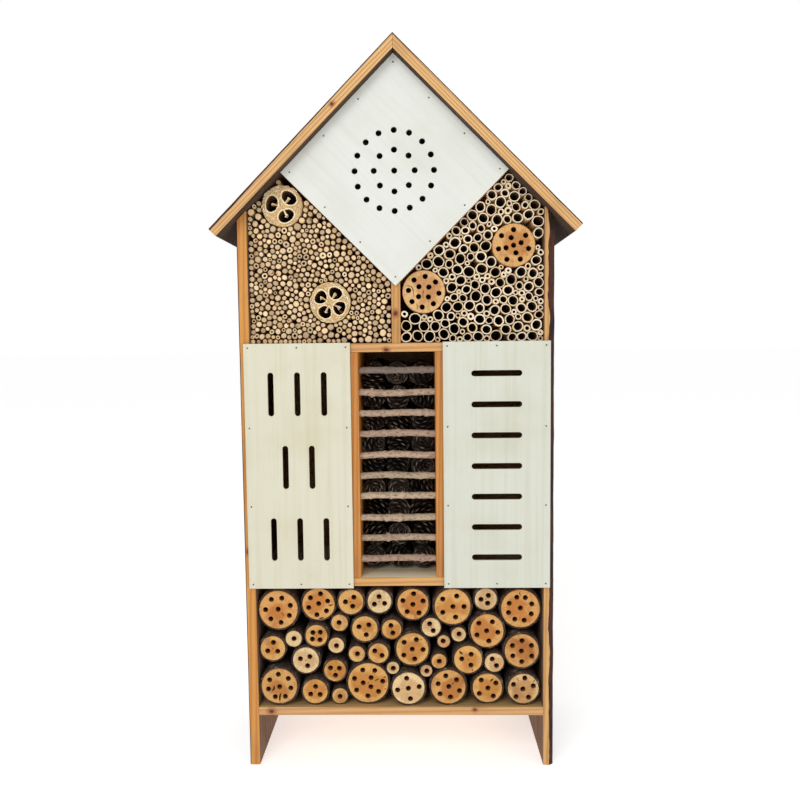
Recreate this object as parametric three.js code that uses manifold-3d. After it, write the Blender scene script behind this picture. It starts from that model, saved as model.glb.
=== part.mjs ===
// Free-standing insect hotel: a tall, narrow timber house on two board feet.
// Millimetres. +Z is up, the open front looks along -Y, and X = 0 is the middle of the house.
import * as THREE from "three";
import { mergeVertices } from "three/addons/utils/BufferGeometryUtils.js";
import Module from "manifold-3d";

const wasm = await Module();
wasm.setup();

// Driving dimensions
const HEIGHT = 1000; // floor to ridge
const BODY_HALF_WIDTH = 215;
const ROOF_HALF_WIDTH = 248; // middle to an eave tip
const FRONT = -85; // front edges of the side boards, shelves and dividers
const REAR = 105;
const ROOF_OVERHANG = 20; // how far the roof stands out past FRONT
const BOARD = 14; // side boards, roof boards and dividers
const SHELF = 12; // shelves, gable post and gable rails
const PANEL = 4; // thin plywood in front
const BACK = 5; // plywood at the back
const FOOT_HEIGHT = 73; // floor to the underside of the bottom shelf
const LOWER_SHELF_TOP = 272;
const UPPER_SHELF_TOP = 598;
const WINDOW_HALF_WIDTH = 52.5;
const GABLE_PANEL_SIDE = 216;
const SLOT_PANEL = { inner: 63, outer: 209, bottom: 258, top: 599 };
const GAP = 0.4; // clearance round slanted, curved and packed pieces

// Derived dimensions
const DIAGONAL = Math.SQRT2; // the roof pitch is 45 degrees, so a slanted thickness grows by this
const INNER = BODY_HALF_WIDTH - BOARD;
const SOFFIT_PEAK = HEIGHT - BOARD * DIAGONAL; // the roof's underside is z = SOFFIT_PEAK - |x|
const RAIL_FOOT = SOFFIT_PEAK - GABLE_PANEL_SIDE * DIAGONAL; // the rails' undersides: z = RAIL_FOOT + |x|
const BACK_FRONT = REAR - BACK; // front face of the back panel
const PANEL_FRONT = FRONT - PANEL;
const FILL_BACK = BACK_FRONT - 1;
const UPPER_SHELF_BOTTOM = UPPER_SHELF_TOP - SHELF;
const LOWER_SHELF_BOTTOM = LOWER_SHELF_TOP - SHELF;
const LOG_FLOOR = FOOT_HEIGHT + SHELF;

// Infill
const SLOT = { width: 8, tall: 60, wide: 69, segments: 5 };
const GABLE_HOLE = { radius: 4, rings: [[1, 0], [8, 27.3], [16, 53]], segments: 10 };
const REED_FRONT = FRONT + 7;
const ROUND_FRONT = FRONT + 6; // loofah pieces and drilled discs stand a little ahead of the stems
const LOOFAH_RADIUS = 28.5;
const DISC_RADIUS = 29.7;
const ROUND_SIDES = 24;
const TWIG = { count: 10, top: 560, pitch: 29.2, radius: 5, bend: 1.1, y: FRONT + 9 };
const CONE = { rows: 9, columns: 3, pitchX: 34.5, pitchZ: 33, radius: 17.8, halfLength: 77 };
const LOG_FRONT = FRONT + 5;
const BARK = 1.5;
const SNUG = 0.98; // logs are picked slightly thinner than the listed sizes, so that the stack fits
const BORE = { radius: 3.6, sides: 6, depth: 60 };

const wood = (color, roughness) => new THREE.MeshStandardMaterial({ color, roughness, metalness: 0 });
const MATERIAL = {
  pine: wood(0xd2964e, 0.62),
  roof: wood(0x6b4a33, 0.8),
  slotPanel: wood(0xe2e0d0, 0.6),
  gablePanel: wood(0xe4e6e2, 0.6),
  back: wood(0xb98d5c, 0.75),
  reed: wood(0xdcc59a, 0.7),
  bamboo: wood(0xe6dab4, 0.55),
  loofah: wood(0xd2ab63, 0.95),
  disc: wood(0xcf9a5b, 0.7),
  twig: wood(0x9b8478, 0.85),
  cone: wood(0x3c342e, 0.9),
  log: wood(0xcf9246, 0.75),
};

const hotel = new THREE.Group();

function add(name, geometry, material, position = [0, 0, 0]) {
  const mesh = new THREE.Mesh(geometry, material);
  mesh.name = name;
  mesh.position.set(...position);
  hotel.add(mesh);
}

// --- Geometry helpers ---

// A straight board that fills the box between two corners.
function addBoard(name, low, high, material) {
  const size = high.map((value, i) => value - low[i]);
  const centre = high.map((value, i) => (value + low[i]) / 2);
  add(name, new THREE.BoxGeometry(...size), material, centre);
}

function outline(points) {
  return new THREE.Shape(points.map(([x, z]) => new THREE.Vector2(x, z)));
}

// Points on a circle in the X-Z plane; a hole's points go round the other way than its outline's do.
function circlePoints(x, z, radius, sides) {
  return Array.from({ length: sides }, (_, i) => {
    const angle = (2 * Math.PI * i) / sides;
    return new THREE.Vector2(x + radius * Math.cos(angle), z + radius * Math.sin(angle));
  });
}

// A slot with round ends, centred on (x, z); angle 0 lies along X.
function slotPath(x, z, length, width, angle) {
  const half = (length - width) / 2;
  const points = [];
  for (const end of [1, -1]) {
    for (let i = 0; i <= SLOT.segments; i++) {
      const turn = angle + (end > 0 ? -Math.PI / 2 : Math.PI / 2) + (Math.PI * i) / SLOT.segments;
      const cx = x + end * half * Math.cos(angle);
      const cz = z + end * half * Math.sin(angle);
      points.push(new THREE.Vector2(cx + (width / 2) * Math.cos(turn), cz + (width / 2) * Math.sin(turn)));
    }
  }
  return new THREE.Path(points);
}

// Extrudes an X-Z outline along +Y, from y = 0 to y = depth.
function extrudeBack(shape, depth) {
  const geometry = new THREE.ExtrudeGeometry(shape, { depth, bevelEnabled: false });
  geometry.rotateX(Math.PI / 2);
  geometry.translate(0, depth, 0);
  return geometry;
}

function addProfile(name, shape, front, back, material) {
  add(name, extrudeBack(shape, back - front), material, [0, front, 0]);
}

function toSolid(source) {
  const geometry = source.clone();
  geometry.deleteAttribute("normal");
  geometry.deleteAttribute("uv");
  const merged = mergeVertices(geometry, 1e-4);
  return new wasm.Manifold(
    new wasm.Mesh({
      numProp: 3,
      vertProperties: merged.attributes.position.array,
      triVerts: new Uint32Array(merged.index.array),
    }),
  );
}

function toGeometry(solid) {
  const mesh = solid.getMesh();
  const geometry = new THREE.BufferGeometry();
  geometry.setAttribute("position", new THREE.BufferAttribute(mesh.vertProperties, 3));
  geometry.setIndex(new THREE.BufferAttribute(mesh.triVerts, 1));
  geometry.computeVertexNormals();
  return geometry;
}

// Bore centres for a round piece: each ring is [count, share of the radius, angle of its first bore].
function ringPoints(rings, radius) {
  return rings.flatMap(([count, share, degrees]) =>
    Array.from({ length: count }, (_, i) => {
      const angle = THREE.MathUtils.degToRad(degrees) + (2 * Math.PI * i) / count;
      return [radius * share * Math.cos(angle), radius * share * Math.sin(angle)];
    }),
  );
}

// A round length of wood along Y with blind bores in its front end, centred on X = Z = 0.
function boredRound(radius, sides, length, rings) {
  let solid = toSolid(extrudeBack(new THREE.Shape(circlePoints(0, 0, radius, sides)), length));
  for (const [x, z] of ringPoints(rings, radius)) {
    const bore = extrudeBack(new THREE.Shape(circlePoints(x, z, BORE.radius, BORE.sides)), BORE.depth + 1);
    bore.translate(0, -1, 0);
    solid = solid.subtract(toSolid(bore));
  }
  return toGeometry(solid);
}

// --- Carcass: boards, shelves, dividers and the back ---

function soffit(x) {
  return SOFFIT_PEAK - Math.abs(x);
}

function addSideBoard(name, side) {
  const outer = side * BODY_HALF_WIDTH;
  const inner = side * INNER;
  const top = GAP * DIAGONAL;
  const shape = outline([[outer, 0], [inner, 0], [inner, soffit(inner) - top], [outer, soffit(outer) - top]]);
  addProfile(name, shape, FRONT, REAR, MATERIAL.pine);
}

function addRoofBoard(name, side) {
  const eaveZ = HEIGHT - ROOF_HALF_WIDTH;
  const cut = BOARD / DIAGONAL; // the eave end is cut square to the board
  const shape = outline([
    [0, HEIGHT],
    [0, SOFFIT_PEAK],
    [side * (ROOF_HALF_WIDTH - cut), eaveZ - cut],
    [side * ROOF_HALF_WIDTH, eaveZ],
  ]);
  addProfile(name, shape, FRONT - ROOF_OVERHANG, REAR, MATERIAL.roof);
}

function addCarcass() {
  for (const [word, side] of [["left", -1], ["right", 1]]) {
    addSideBoard(`${word}_side_board`, side);
    addRoofBoard(`${word}_roof_board`, side);
  }
  const shelfTops = { bottom_shelf: LOG_FLOOR, lower_shelf: LOWER_SHELF_TOP, upper_shelf: UPPER_SHELF_TOP };
  for (const [name, top] of Object.entries(shelfTops)) {
    addBoard(name, [-INNER, FRONT, top - SHELF], [INNER, BACK_FRONT, top], MATERIAL.pine);
  }
  const dividerOuter = WINDOW_HALF_WIDTH + BOARD;
  const windowRange = [LOWER_SHELF_TOP, UPPER_SHELF_BOTTOM];
  addBoard("left_divider", [-dividerOuter, FRONT, windowRange[0]],
    [-WINDOW_HALF_WIDTH, BACK_FRONT, windowRange[1]], MATERIAL.pine);
  addBoard("right_divider", [WINDOW_HALF_WIDTH, FRONT, windowRange[0]],
    [dividerOuter, BACK_FRONT, windowRange[1]], MATERIAL.pine);
  const backEdge = GAP * DIAGONAL;
  const back = outline([
    [-INNER, FOOT_HEIGHT],
    [INNER, FOOT_HEIGHT],
    [INNER, soffit(INNER) - backEdge],
    [0, SOFFIT_PEAK - backEdge],
    [-INNER, soffit(INNER) - backEdge],
  ]);
  addProfile("back_panel", back, BACK_FRONT, REAR, MATERIAL.back);
}

// --- Gable: a post and two sloping rails carry the diamond-shaped panel ---

function addGable() {
  const half = SHELF / 2;
  const notch = RAIL_FOOT - GAP * DIAGONAL; // the post's top is notched to take the rails' corner
  const post = outline([
    [-half, UPPER_SHELF_TOP],
    [half, UPPER_SHELF_TOP],
    [half, notch + half],
    [0, notch],
    [-half, notch + half],
  ]);
  addProfile("gable_post", post, FRONT, BACK_FRONT, MATERIAL.pine);
  const meet = (SOFFIT_PEAK - RAIL_FOOT) / 2 - GAP / DIAGONAL;
  const squareCut = SHELF / DIAGONAL;
  for (const [word, side] of [["left", -1], ["right", 1]]) {
    const rail = outline([
      [0, RAIL_FOOT],
      [side * meet, RAIL_FOOT + meet],
      [side * (meet - squareCut), RAIL_FOOT + meet + squareCut],
      [0, RAIL_FOOT + SHELF * DIAGONAL],
    ]);
    addProfile(`${word}_gable_rail`, rail, FRONT, BACK_FRONT, MATERIAL.pine);
  }
}

function addGablePanel() {
  const top = SOFFIT_PEAK - GAP * DIAGONAL;
  const halfDiagonal = (top - RAIL_FOOT) / 2;
  const centre = RAIL_FOOT + halfDiagonal;
  const panel = outline([[0, RAIL_FOOT], [halfDiagonal, centre], [0, top], [-halfDiagonal, centre]]);
  for (const [count, radius] of GABLE_HOLE.rings) {
    for (const [x, z] of ringPoints([[count, 1, 90]], radius)) {
      const hole = circlePoints(x, centre + z, GABLE_HOLE.radius, GABLE_HOLE.segments);
      panel.holes.push(new THREE.Path(hole));
    }
  }
  addProfile("gable_panel", panel, PANEL_FRONT, FRONT, MATERIAL.gablePanel);
}

// --- Slotted panels at both sides of the window ---

function slotPanelOutline(side) {
  const { inner, outer, bottom, top } = SLOT_PANEL;
  return outline([[side * inner, bottom], [side * outer, bottom], [side * outer, top], [side * inner, top]]);
}

function addSlotPanels() {
  const middleX = (SLOT_PANEL.inner + SLOT_PANEL.outer) / 2;
  const middleZ = (SLOT_PANEL.bottom + SLOT_PANEL.top) / 2;
  const upright = slotPanelOutline(-1);
  const columnPitch = 36.5;
  const rowPitch = 101;
  for (const [row, columns] of [[1, [-1, 0, 1]], [0, [-0.5, 0.5]], [-1, [-1, 0, 1]]]) {
    for (const column of columns) {
      const x = -middleX + column * columnPitch;
      upright.holes.push(slotPath(x, middleZ + row * rowPitch, SLOT.tall, SLOT.width, Math.PI / 2));
    }
  }
  addProfile("left_slot_panel", upright, PANEL_FRONT, FRONT, MATERIAL.slotPanel);

  const level = slotPanelOutline(1);
  const slotPitch = 42.4;
  for (let i = -3; i <= 3; i++) {
    level.holes.push(slotPath(middleX, middleZ + i * slotPitch, SLOT.wide, SLOT.width, 0));
  }
  addProfile("right_slot_panel", level, PANEL_FRONT, FRONT, MATERIAL.slotPanel);
}

// --- Gable infill: packed stems with two round pieces in each side ---

// The five-sided space between post, rail, roof, side board and shelf.
function stemOutline(side) {
  const wall = INNER - GAP;
  const post = SHELF / 2 + GAP;
  const floor = UPPER_SHELF_TOP + GAP;
  const slant = GAP * DIAGONAL;
  const meet = (SOFFIT_PEAK - RAIL_FOOT) / 2;
  return outline([
    [side * post, floor],
    [side * wall, floor],
    [side * wall, soffit(wall) - slant],
    [side * meet, soffit(meet) - slant],
    [side * post, RAIL_FOOT + post - slant],
  ]);
}

function addStemBundle(name, side, pockets, radius, material) {
  const shape = stemOutline(side);
  for (const [x, z] of pockets) {
    shape.holes.push(new THREE.Path(circlePoints(x, z, radius + GAP, ROUND_SIDES)));
  }
  addProfile(name, shape, REED_FRONT, FILL_BACK, material);
}

// A slice of loofah gourd: a fibrous round with seed channels through it.
function addLoofah(name, [x, z], channels) {
  const slice = new THREE.Shape(circlePoints(0, 0, LOOFAH_RADIUS, ROUND_SIDES));
  for (const { at, degrees, across, along } of channels) {
    const angle = THREE.MathUtils.degToRad(degrees);
    const channel = new THREE.EllipseCurve(
      at * Math.cos(angle), at * Math.sin(angle), along, across, 0, 2 * Math.PI, false, angle);
    slice.holes.push(new THREE.Path(channel.getPoints(12).slice(0, -1)));
  }
  add(name, extrudeBack(slice, FILL_BACK - ROUND_FRONT), MATERIAL.loofah, [x, ROUND_FRONT, z]);
}

function addDisc(name, [x, z], rings) {
  const geometry = boredRound(DISC_RADIUS, ROUND_SIDES, FILL_BACK - ROUND_FRONT, rings);
  add(name, geometry, MATERIAL.disc, [x, ROUND_FRONT, z]);
}

function addGableInfill() {
  const upperLoofah = [-153, 785];
  const lowerLoofah = [-90, 654];
  const upperDisc = [160, 728];
  const lowerDisc = [38, 667];
  addStemBundle("reed_bundle", -1, [upperLoofah, lowerLoofah], LOOFAH_RADIUS, MATERIAL.reed);
  addStemBundle("bamboo_bundle", 1, [upperDisc, lowerDisc], DISC_RADIUS, MATERIAL.bamboo);
  const seeds = (angles, size) => angles.map((degrees) => ({ at: 14, degrees, across: size, along: 6.5 }));
  addLoofah("loofah_slice_upper", upperLoofah, seeds([40, 165, 280], 9));
  addLoofah("loofah_slice_lower", lowerLoofah, seeds([20, 110, 200, 290], 6.5));
  addDisc("drilled_disc_upper", upperDisc, [[7, 0.7, 90], [4, 0.36, 108], [1, 0, 0]]);
  addDisc("drilled_disc_lower", lowerDisc, [[8, 0.7, 84], [4, 0.32, 42]]);
}

// --- Window infill: twigs across the front, pine cones behind them ---

function addTwigs() {
  const section = new THREE.Shape(circlePoints(0, 0, TWIG.radius, 8));
  const reach = WINDOW_HALF_WIDTH - GAP;
  for (let i = 0; i < TWIG.count; i++) {
    const sway = TWIG.bend * Math.sin(1 + 2.3 * i);
    const dip = TWIG.bend * Math.cos(2 + 1.7 * i);
    const line = new THREE.CatmullRomCurve3([
      new THREE.Vector3(-reach, 0, 0),
      new THREE.Vector3(-reach / 3, sway, dip),
      new THREE.Vector3(reach / 3, -dip, sway),
      new THREE.Vector3(reach, 0, 0),
    ]);
    const geometry = new THREE.ExtrudeGeometry(section, { extrudePath: line, steps: 6 });
    const name = `twig_${String(i + 1).padStart(2, "0")}`;
    add(name, geometry, MATERIAL.twig, [0, TWIG.y, TWIG.top - TWIG.pitch * i]);
  }
}

// Cones lie end to end from front to back and press into each other, so they are one solid.
function addPineCones() {
  let stack = null;
  for (let row = 0; row < CONE.rows; row++) {
    for (let column = 0; column < CONE.columns; column++) {
      const cone = new THREE.SphereGeometry(1, 8, 6);
      cone.rotateX(Math.PI / 2);
      cone.scale(CONE.radius, CONE.halfLength, CONE.radius);
      const x = (column - (CONE.columns - 1) / 2) * CONE.pitchX;
      cone.translate(x, 0, LOWER_SHELF_TOP + CONE.radius + GAP + row * CONE.pitchZ);
      const solid = toSolid(cone);
      stack = stack ? stack.add(solid) : solid;
    }
  }
  add("pine_cone_stack", toGeometry(stack), MATERIAL.cone, [0, FILL_BACK - CONE.halfLength, 0]);
}

// --- Bottom infill: drilled logs ---

// Each log is [x, z, radius under the bark, bores, angle of the first bore]. The thin branches that
// fill the gaps between them follow, as circles that the logs leave room for.
const LOGS = [
  [-171.5, 224.5, 29, 8, 22], [-114, 230.5, 24.5, 7, 20], [-68, 236.5, 19, 3, 55], [-28, 236.5, 18, 3, 92],
  [19, 231, 23.5, 6, 15], [74.5, 229, 27, 6, 69], [121, 239.5, 16.5, 3, 60], [169.5, 224, 29, 9, 20],
  [-49, 197, 19.5, 3, 38], [-10.5, 196, 14.5, 2, 100], [44, 197, 14, 2, 120], [122.5, 192.5, 25, 6, 62],
  [-117, 188, 16.5, 4, 40], [-181.5, 168, 19, 3, 85], [171.5, 164, 25.5, 7, 32], [-30.5, 161.5, 15, 2, 145],
  [19.5, 164.5, 24.5, 6, 70], [-133.5, 150.5, 20, 3, 45], [95, 152, 21, 3, 60], [133, 146.5, 14, 2, 127],
  [-92.5, 135, 16.5, 3, 30], [-171.5, 114.5, 27, 8, 91], [-121, 104, 19, 3, 90], [-44, 116, 30.5, 10, 60],
  [12.5, 110, 24.5, 5, 12], [66.5, 111.5, 26, 7, 40], [123.5, 107.5, 22.5, 5, 35],
];
const BRANCHES = [
  [173.5, 110, 24], [-85, 204.5, 13.5], [-150, 182.5, 13], [-90, 172.5, 12.5], [83, 188, 11.5],
  [62, 176.5, 10], [-61, 159.5, 13], [55, 149.5, 12], [-86, 98, 12.5], [-9, 137.5, 10], [36.5, 134.5, 9.5],
];

function boreRings(count, turn) {
  if (count === 1) return [[1, 0, 0]];
  if (count <= 4) return [[count, 0.42, turn]];
  if (count <= 9) return [[count - 1, 0.62, turn], [1, 0, 0]];
  return [[7, 0.66, turn], [3, 0.26, turn]];
}

// Nudges the rounds apart until none presses into another, a wall, the floor or the shelf above.
function settle(rounds) {
  for (let pass = 0; pass < 600; pass++) {
    rounds.forEach((a, i) => {
      for (const b of rounds.slice(i + 1)) {
        const apart = Math.hypot(b.x - a.x, b.z - a.z);
        const push = (a.radius + b.radius + GAP - apart) / 2;
        if (push <= 0) continue;
        const dx = (push * (b.x - a.x)) / apart;
        const dz = (push * (b.z - a.z)) / apart;
        a.x -= dx;
        a.z -= dz;
        b.x += dx;
        b.z += dz;
      }
      const reach = INNER - GAP - a.radius;
      a.x = THREE.MathUtils.clamp(a.x, -reach, reach);
      const low = LOG_FLOOR + GAP + a.radius;
      a.z = THREE.MathUtils.clamp(a.z, low, LOWER_SHELF_BOTTOM - GAP - a.radius);
    });
  }
  return rounds;
}

function addLogs() {
  const asRound = ([x, z, radius]) => ({ x, z, radius: radius * SNUG + BARK });
  const rounds = settle([...LOGS, ...BRANCHES].map(asRound));
  LOGS.forEach(([, , , bores, turn], i) => {
    const { x, z, radius } = rounds[i];
    const front = LOG_FRONT + 3 * Math.sin(2 * i); // sawn to slightly different lengths
    const geometry = boredRound(radius, 18, FILL_BACK - front, boreRings(bores, turn));
    add(`log_${String(i + 1).padStart(2, "0")}`, geometry, MATERIAL.log, [x, front, z]);
  });
}

addCarcass();
addGable();
addGablePanel();
addSlotPanels();
addGableInfill();
addTwigs();
addPineCones();
addLogs();

export default hotel;
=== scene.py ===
"""An insect hotel: the look of each piece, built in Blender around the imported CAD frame.

Metres, +Z up, the open front towards -Y. MM turns millimetres into metres. A board is built in its
own frame, with X along the grain, so that its material can use Object coordinates.
"""

import math
import random

import bmesh
import bpy
import numpy as np
from mathutils import Matrix, Vector, noise
from mathutils.geometry import delaunay_2d_cdt


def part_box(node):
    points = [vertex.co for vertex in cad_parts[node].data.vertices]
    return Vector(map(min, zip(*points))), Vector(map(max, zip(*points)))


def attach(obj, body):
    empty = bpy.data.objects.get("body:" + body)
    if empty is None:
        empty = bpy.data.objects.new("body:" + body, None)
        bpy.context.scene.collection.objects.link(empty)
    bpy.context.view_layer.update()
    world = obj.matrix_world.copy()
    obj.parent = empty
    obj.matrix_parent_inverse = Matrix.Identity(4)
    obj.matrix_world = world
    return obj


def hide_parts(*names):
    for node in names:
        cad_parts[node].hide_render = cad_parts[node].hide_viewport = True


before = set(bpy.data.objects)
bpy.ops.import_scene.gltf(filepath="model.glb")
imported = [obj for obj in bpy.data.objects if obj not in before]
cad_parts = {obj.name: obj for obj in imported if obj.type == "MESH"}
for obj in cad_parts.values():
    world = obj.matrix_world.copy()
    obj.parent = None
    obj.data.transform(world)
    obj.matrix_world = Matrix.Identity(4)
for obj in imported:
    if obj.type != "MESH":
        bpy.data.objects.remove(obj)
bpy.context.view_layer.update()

MM = 0.001
BODY = "root"
TURN = 2 * math.pi
SOFT_EDGE = 0.9 * MM  # rounding of sawn arrises
NAIL_RADIUS = 1.15 * MM
BORE_RADIUS = 3.6 * MM
BORE_DEPTH = 60 * MM


def node_range(node):
    """Lowest and highest corner of a CAD node, as vectors."""
    low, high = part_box(node)
    return Vector(low), Vector(high)


side_low, side_high = node_range("left_side_board")
roof_low, roof_high = node_range("left_roof_board")
BOARD = side_high.x - side_low.x
HEIGHT = roof_high.z
HALF_WIDTH = -side_low.x
INNER = HALF_WIDTH - BOARD
FRONT = side_low.y
REAR = side_high.y
ROOF_HALF_WIDTH = -roof_low.x
SOFFIT_PEAK = HEIGHT - BOARD * math.sqrt(2)
FILL_BACK = node_range("log_01")[1].y
SHELF_TOP = {name: node_range(name)[1].z for name in ("bottom_shelf", "lower_shelf", "upper_shelf")}
RAIL_FOOT = node_range("gable_panel")[0].z


# --- Materials -------------------------------------------------------------------------------


def rgb(*srgb):
    """A linear colour from sRGB values out of 255."""
    parts = [c / 255 for c in srgb]
    return tuple(p / 12.92 if p < 0.04 else ((p + 0.055) / 1.055) ** 2.4 for p in parts) + (1.0,)


def shaded(colour, factor):
    return tuple(c * factor for c in colour[:3]) + (1.0,)


def blend(a, b, share):
    return tuple(x + (y - x) * share for x, y in zip(a, b))


class Shader:
    """A material's node tree, built by short calls that return sockets."""

    def __init__(self, name, roughness):
        self.material = bpy.data.materials.new(name)
        self.material.use_nodes = True
        self.tree = self.material.node_tree
        self.surface = next(n for n in self.tree.nodes if n.type == "BSDF_PRINCIPLED")
        self.surface.inputs["Roughness"].default_value = roughness
        self.coordinates = self.tree.nodes.new("ShaderNodeTexCoord").outputs["Object"]

    def node(self, kind, inputs=None, **settings):
        made = self.tree.nodes.new("ShaderNode" + kind)
        for key, value in settings.items():
            setattr(made, key, value)
        for key, value in (inputs or {}).items():
            self.feed(made.inputs[key], value)
        return made

    def feed(self, socket, value):
        if isinstance(value, bpy.types.NodeSocket):
            self.tree.links.new(value, socket)
        else:
            socket.default_value = value

    def place(self, scale=(1, 1, 1), offset=(0, 0, 0), turn=(0, 0, 0)):
        """Object coordinates, turned, then scaled, then moved."""
        turned = self.node("Mapping", {"Vector": self.coordinates, "Rotation": turn})
        moved = {"Vector": turned.outputs[0], "Scale": scale, "Location": offset}
        return self.node("Mapping", moved).outputs[0]

    def value(self, name, output="Fac"):
        """One of the piece's own mesh attributes."""
        return self.node("Attribute", attribute_name=name).outputs[output]

    def noise(self, where, scale=1.0, detail=4.0, roughness=0.55, distortion=0.0):
        """where is a socket, or the scale along each axis for Object coordinates."""
        vector = self.place(where) if isinstance(where, tuple) else where
        inputs = {"Vector": vector, "Scale": scale, "Detail": detail}
        inputs |= {"Roughness": roughness, "Distortion": distortion}
        return self.node("TexNoise", inputs).outputs["Fac"]

    def cells(self, scale, feature="F1"):
        inputs = {"Vector": self.place(scale), "Scale": 1.0}
        return self.node("TexVoronoi", inputs, feature=feature).outputs["Distance"]

    def rings(self, vector, spacing, distortion, detail_scale, axis="X"):
        """Growth rings round an axis, one every spacing metres."""
        inputs = {"Vector": vector, "Scale": TURN / (20 * spacing), "Distortion": distortion}
        inputs |= {"Detail": 2.0, "Detail Scale": detail_scale}
        return self.node("TexWave", inputs, wave_type="RINGS", rings_direction=axis).outputs["Fac"]

    def math(self, operation, a, b=0.0):
        return self.node("Math", {0: a, 1: b}, operation=operation).outputs[0]

    def vector(self, operation, a, b=(0, 0, 0), output=0):
        return self.node("VectorMath", {0: a, 1: b}, operation=operation).outputs[output]

    def fade(self, value, start, end):
        """0 at start and 1 at end, smooth between them; start may be the higher of the two."""
        inputs = {"Value": value, "From Min": start, "From Max": end}
        return self.node("MapRange", inputs, interpolation_type="SMOOTHSTEP").outputs[0]

    def mix(self, factor, a, b, blend="MIX"):
        made = self.node("Mix", {0: factor, 6: a, 7: b}, data_type="RGBA", blend_type=blend)
        return made.outputs[2]

    def over(self, under, top, mask, share):
        """The colour top laid over another where the mask is 1, at most by share."""
        return self.mix(self.math("MULTIPLY", mask, share), under, top)

    def bump(self, height, distance, strength):
        inputs = {"Height": height, "Distance": distance, "Strength": strength}
        normal = self.surface.inputs["Normal"]
        if normal.is_linked:
            inputs["Normal"] = normal.links[0].from_socket
        self.tree.links.new(self.node("Bump", inputs).outputs[0], normal)

    def done(self, colour):
        self.feed(self.surface.inputs["Base Color"], colour)
        return self.material


def board_wood(name, light, dark, pith, knots=()):
    """Sawn pine. The board's X runs along the grain; pith is the (Y, Z) of the tree's middle.

    Each knot is (x, y, z, radius) in the board's own frame.
    """
    s = Shader(name, 0.62)
    stretched = s.place(scale=(0.09, 1, 1), offset=(0, -pith[0], -pith[1]), turn=(0, 0, 0.012))
    growth = s.rings(stretched, 3.4 * MM, distortion=2.4, detail_scale=0.8)
    line = s.fade(growth, 0.35, 0.95)
    tone = s.fade(s.noise((5, 26, 26), detail=3), 0.3, 0.7)
    fibre = s.noise((22, 1100, 1100), detail=3)
    stain = s.fade(s.noise(s.place(scale=(14, 40, 40), offset=(3, 1, 7)), detail=6), 0.5, 0.75)
    colour = s.over(light, dark, line, 0.62)
    colour = s.over(colour, s.mix(0.5, light, dark), tone, 0.35)
    colour = s.over(colour, dark, s.fade(fibre, 0.45, 0.75), 0.3)
    colour = s.over(colour, shaded(dark, 0.45), stain, 0.25)
    warp_size = 3 * MM
    waves = s.node("TexNoise", {"Vector": s.place(), "Scale": 90.0}).outputs["Color"]
    warp = s.node("VectorMath", {0: waves, "Scale": warp_size}, operation="SCALE").outputs[0]
    warped = s.vector("ADD", s.place(scale=(0.8, 1, 1)), warp)
    for x, y, z, radius in knots:
        centre = tuple(c + warp_size / 2 for c in (0.8 * x, y, z))
        away = s.vector("DISTANCE", warped, centre, output="Value")
        halo = s.math("MULTIPLY", s.fade(away, 2.6 * radius, radius), 0.75)
        colour = s.mix(halo, colour, rgb(158, 84, 38))
        colour = s.mix(s.fade(away, 1.1 * radius, 0.6 * radius), colour, rgb(84, 42, 24))
    s.bump(fibre, 0.25 * MM, 0.5)
    s.bump(line, 0.12 * MM, 0.6)
    return s.done(colour)


def worn_wood(name, base, deep, roughness=0.8, strength=0.8):
    """A stained or weathered face, or the roof's soffit, whose darker colours are painted shade: streaks
    along the grain, dark blotches, raised fibres.
    """
    s = Shader(name, roughness)
    streak = s.noise((9, 420, 420), detail=5, roughness=0.65)
    blotch = s.noise(s.place(scale=(11, 24, 24), offset=(2, 5, 1)), detail=6, roughness=0.6)
    colour = s.mix(s.fade(streak, 0.35, 0.7), base, deep)
    colour = s.over(colour, deep, s.fade(blotch, 0.45, 0.72), 0.7)
    s.bump(streak, 0.6 * MM, strength)
    return s.done(colour)


def waney_bark(name, base, deep):
    """The thin inner bark left along an arris."""
    s = Shader(name, 0.9)
    flake = s.cells((90, 420, 420))
    patch = s.noise((30, 90, 90), detail=6, roughness=0.7)
    colour = s.mix(s.fade(patch, 0.35, 0.68), base, deep)
    colour = s.over(colour, deep, s.fade(flake, 0.6, 0.1), 0.45)
    s.bump(s.math("ADD", flake, patch), 0.9 * MM, 0.8)
    return s.done(colour)


def painted_ply(name, tone, shade, along="Z"):
    """Pale birch plywood: faint grain lines, cloudy patches and slightly worn edges."""
    s = Shader(name, 0.58)
    long, wide = (3.2, 130) if along == "Z" else (130, 3.2)
    grain = s.noise((wide, 1, long), detail=5, roughness=0.6, distortion=0.6)
    fine = s.noise((wide * 5, 1, long * 5), detail=3)
    cloud = s.noise(s.place(scale=(7, 7, 7), offset=(4, 0, 9)), detail=5, roughness=0.6)
    colour = s.over(tone, shade, s.fade(grain, 0.42, 0.78), 0.42)
    colour = s.over(colour, shade, s.fade(cloud, 0.42, 0.7), 0.5)
    fleck = s.fade(s.cells((150, 150, 60)), 0.09, 0.03)
    colour = s.over(colour, rgb(178, 168, 140), fleck, 0.35)
    s.bump(fine, 0.1 * MM, 0.5)
    s.bump(grain, 0.25 * MM, 0.35)
    return s.done(colour)


def ply_edge(name, pale, brown):
    """The cut edge of plywood, its layers stacked from front to back."""
    s = Shader(name, 0.8)
    inputs = {"Vector": s.place(), "Scale": TURN / (20 * 2.2 * MM), "Distortion": 0.7}
    layer = s.node("TexWave", inputs, wave_type="BANDS", bands_direction="Y").outputs["Fac"]
    grime = s.noise((160, 160, 160), detail=4)
    colour = s.mix(s.fade(layer, 0.35, 0.65), pale, brown)
    colour = s.over(colour, rgb(74, 60, 44), s.fade(grime, 0.45, 0.7), 0.5)
    s.bump(layer, 0.3 * MM, 0.5)
    return s.done(colour)


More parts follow.
